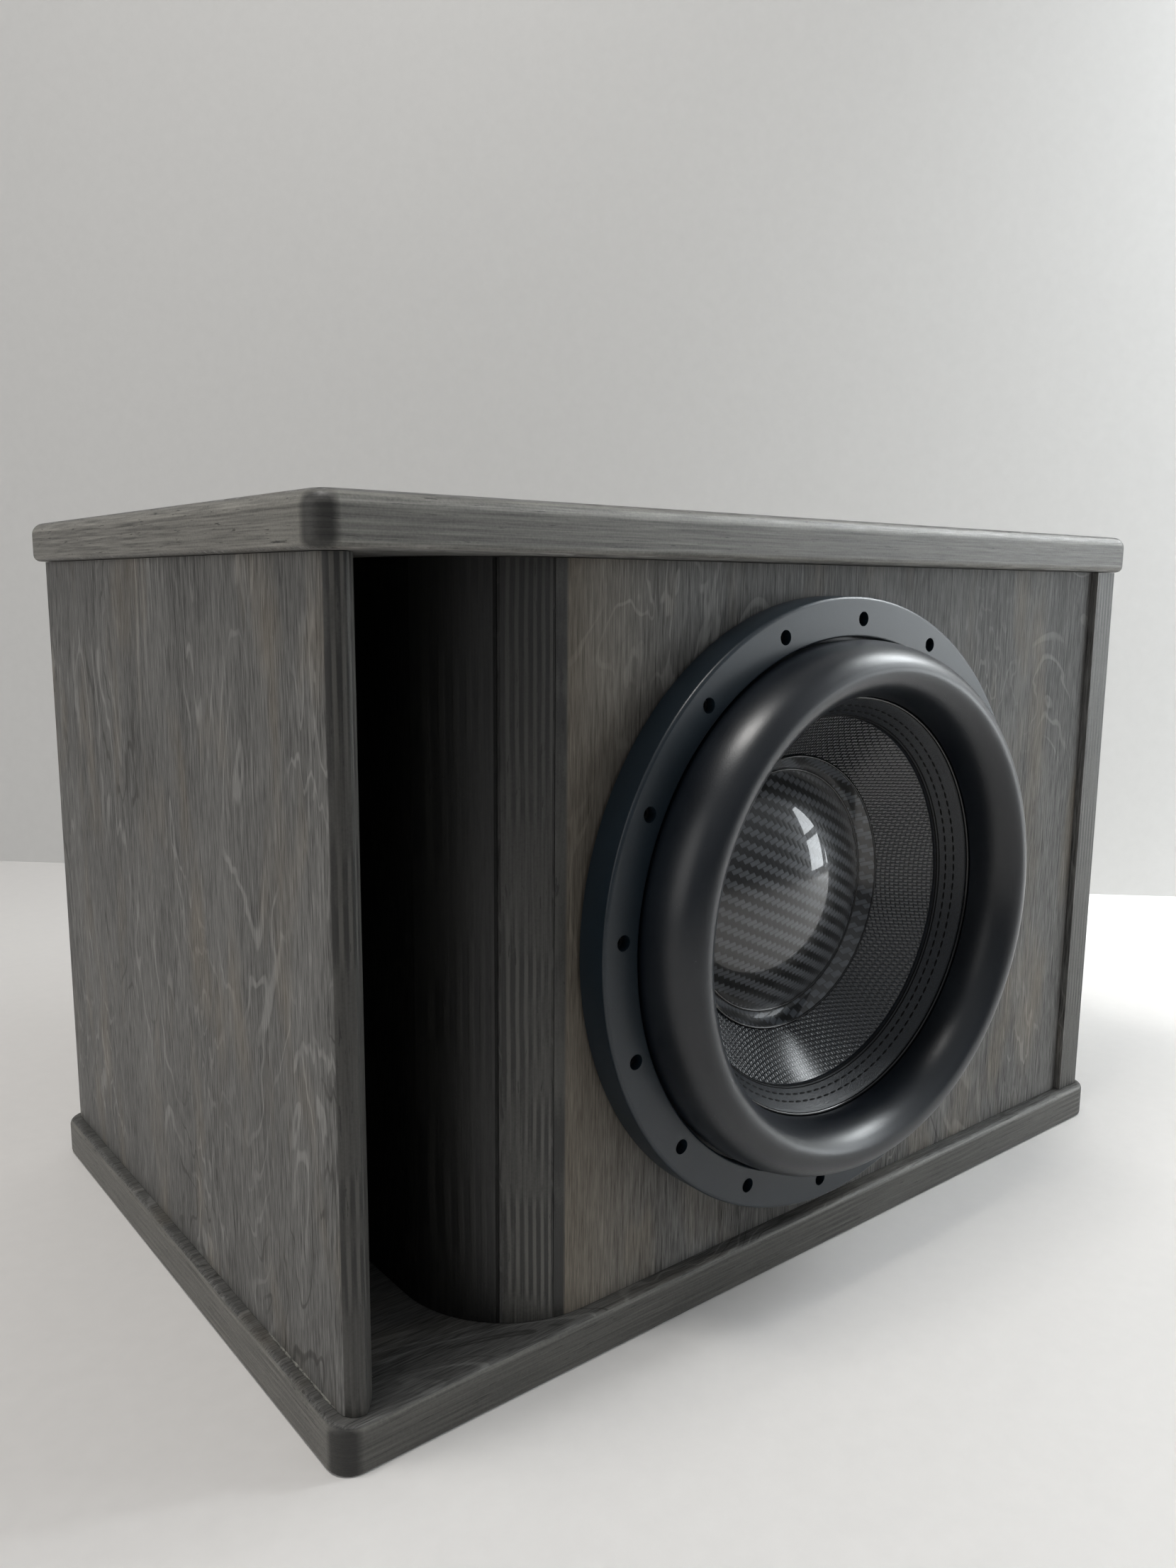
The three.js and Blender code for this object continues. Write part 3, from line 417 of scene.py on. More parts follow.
def stained_plywood(name, across, middle, along, seed=0.0, shade=1.0, foot_shade=None, edge_shade=1.0,
                    ply_contrast=1.0, ply_lines=0.3, warmth=0.5, glow=None, plate=False):
    """Birch plywood, sanded, stained grey-black and sealed with satin lacquer. The stain lies thin on the
    pale flames of the rotary-cut veneer and thick between them, and the cut edges show soft light and dark
    plies with the odd void. across is the axis through the board, middle is its core's place on it in
    metres and along is the axis of the face veneer's grain. The two shade arguments scale the colour at the
    cabinet's top and at its foot; they hold the stain's depth and also painted shade, darker towards the top
    and paler towards the foot. glow is the stretch of X in metres over which bare brown fades into stain, and
    a plate has rims with paler wear, thirsty corners and faces turned along X drawn paler as painted light."""
    boards = bpy.context.scene.cabinet_boards
    material, shader, node, mm = blank(name, Roughness=0.5)
    axes = node("SeparateXYZ", {0: mm})
    depth = node("Math", {0: axes.outputs[across], 1: middle / MM}, operation="SUBTRACT")

    def stretched(width, length_, offset):
        """Coordinates in which a feature is width millimetres across the grain and length_ along it."""
        scale = [1 / width] * 3
        scale[along] = 1 / length_
        moved = node("Mapping", {
            "Vector": mm, "Scale": scale, "Location": (seed + offset, seed * 1.7 + offset, seed * 0.6)})
        return moved

    # Contours of a long slow field are the flames and loops of rotary-cut birch: pale lines a millimetre
    # wide.
    field = node("TexNoise", {
        "Vector": stretched(75, 260, 3.1), "Scale": 1.0, "Detail": 4.0, "Roughness": 0.5, "Distortion": 0.9})
    waves = node("Math", {0: field, 1: 96.0}, operation="MULTIPLY")
    wave = node("Math", {0: waves}, operation="SINE")
    contour = node("MapRange", {
        0: wave, 1: 0.8, 2: 1.0, 3: 0.0, 4: 1.0}, interpolation_type="SMOOTHSTEP")
    presence = node("TexNoise", {"Vector": stretched(45, 90, 7.7), "Scale": 1.0, "Detail": 2.0})
    present = node("MapRange", {
        0: presence, 1: 0.42, 2: 0.62, 3: 0.1, 4: 1.0}, interpolation_type="SMOOTHSTEP")
    flame = node("Math", {0: contour, 1: present}, operation="MULTIPLY")

    # Fibres two thirds of a millimetre wide, then hair-fine ones, over slow clouds of stain.
    fibre = node("TexNoise", {
        "Vector": stretched(0.8, 18, 0.4), "Scale": 1.0, "Detail": 3.0, "Roughness": 0.6})
    hair = node("TexNoise", {
        "Vector": stretched(0.38, 8, 1.9), "Scale": 1.0, "Detail": 2.0, "Roughness": 0.6})
    blotch = node("TexNoise", {
        "Vector": stretched(30, 120, 5.2), "Scale": 1.0, "Detail": 4.0, "Roughness": 0.55})
    fine = node("Math", {0: fibre, 1: 1.25, 2: -0.8}, operation="MULTIPLY_ADD")
    finer = node("Math", {0: hair, 1: 0.9, 2: fine}, operation="MULTIPLY_ADD")
    broad = node("Math", {0: blotch, 1: 0.5, 2: finer}, operation="MULTIPLY_ADD")
    tone = node("Math", {0: flame, 1: 0.36, 2: broad}, operation="MULTIPLY_ADD")
    veneer = node("ValToRGB", {0: tone}, stops=[
        (0.15, boards.veneer_dark), (1.0, boards.veneer_light)])
    warm = node("TexNoise", {"Vector": stretched(26, 80, 9.3), "Scale": 1.0, "Detail": 3.0})
    warmed = node("MapRange", {0: warm, 1: 0.52, 2: 0.7, 3: 0.0, 4: warmth})
    brown = warmed
    if glow:
        bare = node("MapRange", {
            0: axes.outputs[0], 1: glow[0] / MM, 2: glow[1] / MM, 3: 0.85, 4: 0.0},
            interpolation_type="SMOOTHSTEP")
        brown = node("Math", {0: bare, 1: brown}, operation="MAXIMUM")
    # A few contours are drawn dark by minerals.
    trough = node("MapRange", {
        0: wave, 1: -1.0, 2: -0.93, 3: 0.6, 4: 0.0}, interpolation_type="SMOOTHSTEP")
    veined = node("TexNoise", {"Vector": stretched(60, 120, 12.9), "Scale": 1.0, "Detail": 1.0})
    vein = node("MapRange", {0: veined, 1: 0.58, 2: 0.66, 3: 0.0, 4: 1.0})
    streaked = node("Math", {0: trough, 1: vein}, operation="MULTIPLY")
    fibrous = node("Math", {0: tone, 1: 0.9, 2: 0.5}, operation="MULTIPLY_ADD")
    tan = node("Mix", {
        0: 1.0, 6: boards.veneer_warm, 7: fibrous}, data_type="RGBA", blend_type="MULTIPLY")
    sound = node("Mix", {
        0: brown, 6: veneer, 7: tan.outputs[2]}, data_type="RGBA")
    face = node("Mix", {
        0: streaked, 6: sound.outputs[2], 7: boards.ply_dark}, data_type="RGBA")

    # The plies: alternate layers of soft contrast, streaks along them, and short open voids in some.
    wander = node("TexNoise", {"Vector": mm, "Scale": 0.02, "Detail": 1.0})
    shift = node("Math", {0: wander, 1: 1.1, 2: depth}, operation="MULTIPLY_ADD")
    phase = node("Math", {
        0: shift, 1: math.pi / (boards.ply_pitch / MM)}, operation="MULTIPLY")
    swing = node("Math", {0: phase}, operation="COSINE")
    layer = node("MapRange", {
        0: swing, 1: -0.5, 2: 0.9, 3: -0.5, 4: 0.5}, interpolation_type="SMOOTHSTEP")
    streak_scale = [0.03] * 3
    streak_scale[across] = 1.5
    streaks = node("Mapping", {"Vector": mm, "Scale": streak_scale, "Location": (seed, 0.3, seed)})
    streak = node("TexNoise", {
        "Vector": streaks, "Scale": 1.0, "Detail": 4.0, "Roughness": 0.6})
    patch = node("TexNoise", {"Vector": mm, "Scale": 0.025, "Detail": 2.0})
    strength = node("MapRange", {0: patch, 1: 0.4, 2: 0.7, 3: 0.0, 4: ply_lines})
    banded = node("Math", {0: layer, 1: strength}, operation="MULTIPLY")
    cross = node("TexNoise", {"Vector": mm, "Scale": 1.1, "Detail": 3.0})
    streaky = node("Math", {0: streak, 1: 1.1 * ply_contrast, 2: banded}, operation="MULTIPLY_ADD")
    crossed = node("Math", {0: cross, 1: 0.3, 2: streaky}, operation="MULTIPLY_ADD")
    centre = 0.15 + 0.55 * ply_contrast
    edge = node("ValToRGB", {0: crossed}, stops=[
        (centre - 0.3, boards.ply_dark), (centre + 0.3, boards.ply_light)])
    void_scale = [0.08] * 3
    void_scale[across] = 1.1
    voids = node("Mapping", {"Vector": mm, "Scale": void_scale, "Location": (seed * 3, 2.2, 0.7)})
    void = node("TexNoise", {
        "Vector": voids, "Scale": 1.0, "Detail": 4.0, "Roughness": 0.6})
    open_void = node("MapRange", {
        0: void, 1: 0.63, 2: 0.68, 3: 1.0, 4: 0.25}, interpolation_type="SMOOTHSTEP")
    dull = node("Math", {0: open_void, 1: edge_shade}, operation="MULTIPLY")
    edge_dull = node("Mix", {
        0: 1.0, 6: edge, 7: dull}, data_type="RGBA", blend_type="MULTIPLY")

    # The outer veneer is 0.9 mm thick after sanding.
    from_core = node("Math", {0: depth}, operation="ABSOLUTE")
    outside = node("MapRange", {
        0: from_core, 1: BOARD / MM / 2 - 1.0, 2: BOARD / MM / 2 - 0.8, 3: 0.0, 4: 1.0})
    whole = node("Mix", {
        0: outside, 6: edge_dull.outputs[2], 7: face.outputs[2]}, data_type="RGBA")
    # Painted shade: the colour is scaled along the height, darker at the top and paler at the foot.
    level = node("MapRange", {
        0: axes.outputs[2], 1: CAD_BOX[0].z / MM, 2: CAD_BOX[1].z / MM, 3: foot_shade or shade, 4: shade})
    if plate:
        # Round upright corners cut every ply askew and drink more stain. The rims show paler wear, and faces
        # turned along X are drawn paler as painted light from the sides.
        geometry = node("NewGeometry")
        facing = node("SeparateXYZ", {0: geometry.outputs["Normal"]})
        askew = node("Math", {0: facing.outputs[0], 1: facing.outputs[1]}, operation="MULTIPLY")
        corner = node("Math", {0: askew}, operation="ABSOLUTE")
        end = node("Math", {0: facing.outputs[0]}, operation="ABSOLUTE")
        upward = node("Math", {0: facing.outputs[2]}, operation="ABSOLUTE")
        painted_end_light = node("MapRange", {0: end, 1: 0.6, 2: 1.0, 3: 1.0, 4: 1.65})
        rims = node("Math", {0: upward, 1: 0.5}, operation="PINGPONG")
        thirst = node("MapRange", {0: corner, 1: 0.02, 2: 0.3, 3: 1.0, 4: 0.22})
        wear_and_painted_end_light = node("Math", {0: rims, 1: 1.3, 2: painted_end_light}, operation="MULTIPLY_ADD")
        wear_thirst_and_painted_light = node("Math", {0: wear_and_painted_end_light, 1: thirst}, operation="MULTIPLY")
        level = node("Math", {0: wear_thirst_and_painted_light, 1: level}, operation="MULTIPLY")
    grey = node("CombineColor", {0: level, 1: level, 2: level})
    toned = node("Mix", {
        0: 1.0, 6: whole.outputs[2], 7: grey}, data_type="RGBA", blend_type="MULTIPLY")
    rough = node("MapRange", {0: hair, 1: 0.3, 2: 0.7, 3: 0.6, 4: 0.4})
    gloss = node("MapRange", {0: outside, 3: 0.5, 4: 0.16})
    material.node_tree.links.new(gloss.outputs[0], shader.inputs["Specular IOR Level"])
    grain = node("Mix", {
        0: outside, 2: crossed, 3: finer}, data_type="FLOAT")
    return finish(material, shader, node, toned.outputs[2], rough, grain, 0.3, 0.22)


def powder_coat():
    """Cast aluminium under a satin blue-black powder coat: a faint orange peel and a fine metallic fleck."""
    driver = bpy.context.scene.cabinet_driver
    material, shader, node, mm = blank("powder_coated_casting", IOR=1.5)
    fleck = node("TexVoronoi", {"Vector": mm, "Scale": 3.2})
    bright = node("MapRange", {0: fleck.outputs["Distance"], 1: 0.1, 2: 0.35, 3: 0.35, 4: 0.0})
    cloud = node("TexNoise", {"Vector": mm, "Scale": 0.06, "Detail": 2.0})
    tint = node("Mix", {
        0: cloud, 6: driver.coat, 7: linear(0x15212A)}, data_type="RGBA")
    flecked = node("Mix", {
        0: bright, 6: tint.outputs[2], 7: linear(0x3A444B)}, data_type="RGBA")
    peel = node("TexNoise", {"Vector": mm, "Scale": 2.2, "Detail": 3.0, "Roughness": 0.6})
    rough = node("MapRange", {0: peel, 3: 0.3, 4: 0.4})
    return finish(material, shader, node, flecked.outputs[2], rough, peel, 0.3, 0.05)


def moulded_foam():
    """Heat-moulded polyether foam with a skin: satin, finely pebbled, dusty where it catches light."""
    driver = bpy.context.scene.cabinet_driver
    material, shader, node, mm = blank("moulded_surround_foam", IOR=1.5, Specular_IOR_Level=0.55)
    pebble = node("TexVoronoi", {"Vector": mm, "Scale": 1.5, "Randomness": 1.0})
    grit = node("TexNoise", {"Vector": mm, "Scale": 2.4, "Detail": 4.0, "Roughness": 0.65})
    cloud = node("TexNoise", {"Vector": mm, "Scale": 0.03, "Detail": 4.0})
    spread = node("Math", {0: grit, 1: 0.5, 2: cloud}, operation="MULTIPLY_ADD")
    tint = node("ValToRGB", {0: spread}, stops=[
        (0.45, linear(0x070C13)), (0.95, driver.foam)])
    rough = node("MapRange", {0: grit, 1: 0.3, 2: 0.7, 3: 0.27, 4: 0.38})
    height = node("Math", {
        0: pebble.outputs["Distance"], 1: 0.6, 2: grit}, operation="MULTIPLY_ADD")
    return finish(material, shader, node, tint, rough, height, 0.3, 0.05)


def grained_band():
    """Embossed leathercloth: soft pebble grain with shallow creases and a low sheen."""
    driver = bpy.context.scene.cabinet_driver
    material, shader, node, mm = blank("embossed_leathercloth", IOR=1.5)
    cells = node("TexVoronoi", {"Vector": mm, "Scale": 1.25}, feature="DISTANCE_TO_EDGE")
    crease_and_painted_shade = node("MapRange", {
        0: cells.outputs["Distance"], 1: 0.0, 2: 0.22, 3: 0.0, 4: 1.0}, interpolation_type="SMOOTHSTEP")
    soft = node("TexNoise", {"Vector": mm, "Scale": 0.8, "Detail": 3.0})
    # The creases are drawn darker: painted shade.
    tint = node("Mix", {
        0: crease_and_painted_shade, 6: linear(0x0C0F12), 7: driver.band}, data_type="RGBA")
    rough = node("MapRange", {0: soft, 3: 0.3, 4: 0.44})
    height = node("Math", {
        0: crease_and_painted_shade, 1: 0.6, 2: soft}, operation="MULTIPLY_ADD")
    return finish(material, shader, node, tint.outputs[2], rough, height, 0.5, 0.15)


def woven(name, pitch, twill, under, over, roughness, coat, coat_roughness=0.04, gloss=0.5, turn=0.0,
          depth=0.2):
    """Cloth pressed to shape in lacquer. Its threads run straight in the driver's plane and pass over and
    under each other, one by one in a plain weave or two by two in a twill."""
    material, shader, node, mm = blank(
        name, Roughness=roughness, Coat_Weight=coat, Coat_Roughness=coat_roughness, Specular_IOR_Level=gloss)
    flat = node("Mapping", {
        "Vector": mm, "Rotation": (0, turn, 0), "Scale": (MM / pitch,) * 3, "Location": (40.3, 0, 40.7)})
    axes = node("SeparateXYZ", {0: flat})
    warp = node("Math", {0: axes.outputs[0]}, operation="FLOOR")
    weft = node("Math", {0: axes.outputs[2]}, operation="FLOOR")
    total = node("Math", {0: warp, 1: weft}, operation="ADD")
    cycle = node("Math", {
        0: total, 1: 4.0 if twill else 2.0}, operation="FLOORED_MODULO")
    on_top = node("Math", {
        0: cycle, 1: 1.5 if twill else 0.5}, operation="LESS_THAN")
    crowns = []
    for axis in (0, 2):
        angle = node("Math", {0: axes.outputs[axis], 1: math.pi}, operation="MULTIPLY")
        wave = node("Math", {0: angle}, operation="SINE")
        crowns.append(node("Math", {0: wave}, operation="ABSOLUTE"))
    crown = node("Mix", {0: on_top, 2: crowns[0], 3: crowns[1]}, data_type="FLOAT")
    dip = node("Mix", {0: on_top, 2: crowns[1], 3: crowns[0]}, data_type="FLOAT")
    height = node("Math", {
        0: dip, 1: 0.0 if twill else 0.5, 2: crown}, operation="MULTIPLY_ADD")
    dirt = node("TexNoise", {"Vector": mm, "Scale": 0.25, "Detail": 4.0})
    # The threads on top take the paler colour: painted sheen.
    thread = node("Mix", {
        0: on_top, 6: under, 7: over}, data_type="RGBA")
    # Each thread is drawn darker towards its edges between threads: painted shade.
    painted_groove_shade = node("MapRange", {0: crown, 1: 0.0, 2: 0.55, 3: 0.25, 4: 1.0})
    uneven = node("Math", {0: dirt, 1: 0.5, 2: 0.72}, operation="MULTIPLY_ADD")
    shade = node("Math", {0: painted_groove_shade, 1: uneven}, operation="MULTIPLY")
    final = node("Mix", {
        0: 1.0, 6: thread.outputs[2], 7: shade}, data_type="RGBA", blend_type="MULTIPLY")
    return finish(material, shader, node, final.outputs[2], None, height, 0.6, depth)


def speckled(name, low, high, grain, roughness, bump_depth, **sockets):
    """A plain material with its surface's own grain, in millimetres, in both its colour and its relief."""
    material, shader, node, mm = blank(name, **sockets)
    noise = node("TexNoise", {"Vector": mm, "Scale": 1 / grain, "Detail": 4.0, "Roughness": 0.6})
    tint = node("ValToRGB", {0: noise}, stops=[(0.3, low), (0.7, high)])
    rough = node("MapRange", {0: noise, 1: 0.3, 2: 0.7, 3: roughness[0], 4: roughness[1]})
    return finish(material, shader, node, tint, rough, noise, 0.4, bump_depth)


def wound(name, low, high, pitch, **sockets):
    """Wire wound round the driver's axis: rounded turns that lie side by side."""
    material, shader, node, mm = blank(name, **sockets)
    axes = node("SeparateXYZ", {0: mm})
    angle = node("Math", {0: axes.outputs[1], 1: math.pi / pitch}, operation="MULTIPLY")
    wave = node("Math", {0: angle}, operation="SINE")
    turn = node("Math", {0: wave}, operation="ABSOLUTE")
    # The wire is drawn darker between its turns: painted shade.
    tint = node("ValToRGB", {0: turn}, stops=[(0.0, low), (0.6, high)])
    return finish(material, shader, node, tint, None, turn, 0.7, 0.2)


# ---- Pieces of the cabinet ----
def centred(node, across):
    """The middle of a node along one axis."""
    low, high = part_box(node)
    return (low[across] + high[across]) / 2


def board(name, node, mesh, across, along=2, label=None, slot="stained_ply", **look):
    """Makes a finished board from its mesh. across is its thickness's axis and along its grain's."""
    wood = stained_plywood(f"stained_birch_{label or name}", across, centred(node, across), along, **look)
    piece(name, mesh, wood, BODY, [node], weighted=True)


class OBJECT_OT_plates(bpy.types.Operator):
    """Make the top and bottom plates"""
    bl_idname = "subwoofer.plates"
    bl_label = "Top and Bottom Plates"

    def execute(self, context):
        boards = context.scene.cabinet_boards
        for name, upper, lower, seed, shade in (
                ("top_panel", boards.top_edge, boards.plate_edge, 2.3, 0.9),
                ("bottom_panel", boards.plate_edge, boards.foot_edge, 5.9, 0.6)):
            low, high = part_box(name)
            radius = boards.corner_radius
            mesh = upright_board([
                (low.x, low.y, radius), (high.x, low.y, radius), (high.x, high.y, radius),
                (low.x, high.y, radius),
            ], low.z, high.z)
            round_level(mesh, high.z, upper, 7)
            round_level(mesh, low.z, lower, 4)
            board(name.replace("panel", "board"), name, mesh, 2, along=0, label=name, seed=seed, shade=shade,
                  warmth=0.3, ply_contrast=0.8, ply_lines=0.24, plate=True)
        return {"FINISHED"}


class OBJECT_OT_walls(bpy.types.Operator):
    """Make the two side walls, one with a nose that flares into the port"""
    bl_idname = "subwoofer.walls"
    bl_label = "Side Walls"

    def execute(self, context):
        boards = context.scene.cabinet_boards
        low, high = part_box("left_side_panel")
        nose = Vector((low.x + 7 * MM, low.y))
        turn = math.radians(48)
        tangent = boards.flare_radius * math.tan(turn / 2)
        reach = boards.flare_radius * math.sin(turn) + 0.15 * MM
        mesh = upright_board([
            (low.x, low.y, boards.nose_radius * 0.85),
            (nose.x, nose.y, 0),
            (high.x, low.y + reach - tangent, boards.flare_radius),
            (high.x, high.y, 0),
            (low.x, high.y, boards.small_edge),
        ], low.z, high.z)
        board("left_wall", "left_side_panel", mesh, 0, seed=1.4, edge_shade=0.34, ply_contrast=0.8,
            ply_lines=1.6)

        low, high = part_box("right_side_panel")
        edge = boards.small_edge
        mesh = upright_board([
            (low.x, low.y, 0.3 * MM), (high.x, low.y, edge), (high.x, high.y, edge), (low.x, high.y, 0),
        ], low.z, high.z)
        board("right_wall", "right_side_panel", mesh, 0, seed=8.2, edge_shade=0.5, ply_contrast=0.6,
            ply_lines=0.7)
        return {"FINISHED"}


class OBJECT_OT_port(bpy.types.Operator):
    """Make the port's wall and its laminated round corner"""
    bl_idname = "subwoofer.port"
    bl_label = "Slot Port"

    def execute(self, context):
        boards = context.scene.cabinet_boards
        wall_low, wall_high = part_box("port_wall")
        block_low, block_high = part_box("port_corner_block")
        front = BAFFLE_FACE
        radius = boards.mouth_radius
        # One thick blank takes the full radius, and is then sliced at the joints between its layers.
        # The port's inner wall is drawn nearly black and its corner dark: painted shade inside the port, with
        # the corner's darker stain; both are paler towards the foot as painted light.
        for name, node, low, high, back, seed, shade, foot in (
                ("port_inner_wall", "port_wall", wall_low, wall_high, wall_high.y, 3.3, 0.03, 0.09),
                ("port_corner", "port_corner_block", block_low, block_high, block_high.y, 6.1, 0.1, 0.55)):
            left = wall_low.x
            mesh = upright_board([
                (left, front, radius), (left + 2 * radius, front, 0), (left + 2 * radius, back, 0),
                (left, back, 0),
            ], low.z, high.z)
            slice_off(mesh, (low.x, 0, 0), (-1, 0, 0))
            slice_off(mesh, (high.x, 0, 0), (1, 0, 0))
            bmesh.ops.recalc_face_normals(mesh, faces=mesh.faces)
            board(name, node, mesh, 0, slot="inner_ply", seed=seed, shade=shade, foot_shade=foot,
                  ply_contrast=0.9, ply_lines=1.3, warmth=0.1)
        middle = centred("port_return_wall", 1)
        dress(stained_plywood("stained_birch_return_wall", 1, middle, 2, seed=4.4, shade=0.6),
            "port_return_wall")
        dress(stained_plywood("stained_birch_turning_block", 2, 0.0, 2, seed=9.4, shade=0.6),
            "port_turn_block")
        return {"FINISHED"}


class OBJECT_OT_baffle(bpy.types.Operator):
    """Make the front baffle, the back panel and the brace"""
    bl_idname = "subwoofer.baffle"
    bl_label = "Baffle, Back and Brace"

    def execute(self, context):
        boards = context.scene.cabinet_boards
        low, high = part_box("front_baffle")
        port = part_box("port_wall")[0]
        radius = boards.mouth_radius
        mesh = upright_board([
            (port.x, low.y, radius), (high.x, low.y, boards.small_edge * 0.7),
            (high.x, low.y + 2 * radius, 0), (port.x, low.y + 2 * radius, 0),
        ], low.z, high.z)
        slice_off(mesh, (low.x, 0, 0), (-1, 0, 0))
        slice_off(mesh, (0, high.y, 0), (0, 1, 0))
        bmesh.ops.recalc_face_normals(mesh, faces=mesh.faces)
        mesh = cut(mesh, rod(BAFFLE_OPENING * MM, 3 * BOARD, (AXIS_X, low.y, AXIS_Z), 128))
        # Darker towards the top and paler towards the foot: painted shade under the top plate and painted
        # light from the floor.
        board("baffle", "front_baffle", mesh, 1, seed=0.6, shade=0.58, foot_shade=0.95, edge_shade=0.5,
              ply_contrast=0.8, ply_lines=1.2, warmth=0.6, glow=(port.x + 30 * MM, port.x + 105 * MM))

        low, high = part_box("back_panel")
        mesh = cut(block(high - low, (low + high) / 2),
            rod(CUP_OPENING * MM, 3 * BOARD, (CUP_X, high.y, CUP_Z), 96))
        board("back_board", "back_panel", mesh, 1, label="back", seed=7.1, warmth=0.3)
        middle = centred("window_brace", 0)
        dress(stained_plywood("stained_birch_brace", 0, middle, 2, seed=2.9, shade=0.6), "window_brace")
        return {"FINISHED"}


class OBJECT_OT_glue(bpy.types.Operator):
    """Make the dried glue that was squeezed out along the left wall's foot"""
    bl_idname = "subwoofer.glue"
    bl_label = "Squeezed-out Glue"

    def execute(self, context):
        chance = random.Random(11)
        wall_low, wall_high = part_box("left_side_panel")
        beads = []
        for x, start, end, size in (
                (wall_low.x, wall_low.y + 9 * MM, wall_low.y + 62 * MM, 0.55),
                (wall_high.x, wall_low.y + 16 * MM, wall_low.y + 40 * MM, 0.4)):
            mesh = bmesh.new()
            ring = bmesh.ops.create_circle(mesh, cap_ends=True, segments=8, radius=MM)
            bmesh.ops.rotate(mesh, cent=(0, 0, 0), matrix=Matrix.Rotation(math.pi / 2, 3, "X"),
                verts=mesh.verts)
            bmesh.ops.scale(mesh, vec=(0.1, 1, 0.1), verts=mesh.verts)
            bmesh.ops.translate(mesh, vec=(x, start, wall_low.z), verts=mesh.verts)
            face = mesh.faces[:][0]
            steps = 70
            width = 0.1
            for i in range(steps):
                target = size * (0.35 + 0.75 * chance.random()) * min(1, i / 4, (steps - i) / 4) + 0.08
                grown = bmesh.ops.extrude_discrete_faces(mesh, faces=[face])
                face = grown["faces"][0]
                middle = face.calc_center_median()
                bmesh.ops.scale(
                    mesh, vec=(target / width, 1, target / width), space=Matrix.Translation(-middle),
                    verts=face.verts[:])
                bmesh.ops.translate(mesh, vec=(0, (end - start) / steps, 0), verts=face.verts[:])
                width = target
            bmesh.ops.recalc_face_normals(mesh, faces=mesh.faces)
            beads.append(mesh)
        # Dried wood glue: pale, rough where it was wiped, and chalky.
        dry = speckled("dried_wood_glue", linear(0x2A2A29), context.scene.cabinet_boards.glue, 1.6,
            (0.5, 0.75), 0.2)
        piece("glue_squeeze_out", join(beads), dry, BODY, smooth=80)
        return {"FINISHED"}


# ---- Pieces of the driver. Heights are millimetres forwards of the baffle's face. ----
BOLT_INSET = 9
BOLT_RADIUS = RIM_RADIUS / MM - BOLT_INSET
BOLTS = 16
BOLT_PHASE = math.radians(3)
RIM_FRONT = (BAFFLE_FACE - RIM_BOX[0].y) / MM
RIM_BACK = 1.85
SEAT = 8.0
RIM_WIDTH = 16.25
RIM_INNER = RIM_RADIUS / MM - RIM_WIDTH
ROLL_HALF_THICKNESS = 1.1
BAND_OUTER = 89.0
BAND_INNER = 79.6
BAND_FRONT = 17
CAP_RING = 60.0
CAP_EDGE = 54.2
CAP_RISE = 19
NECK = 38.5
CUP_SCREW_CIRCLE = 35.25
POST_OFFSET = 9.5


def to_cup_screw(i):
    """The way from the middle of the cup to one of its four screws."""
    radius, angle = CUP_SCREW_CIRCLE * MM, math.radians(45 + 90 * i)
    return Vector((radius * math.cos(angle), 0, radius * math.sin(angle)))


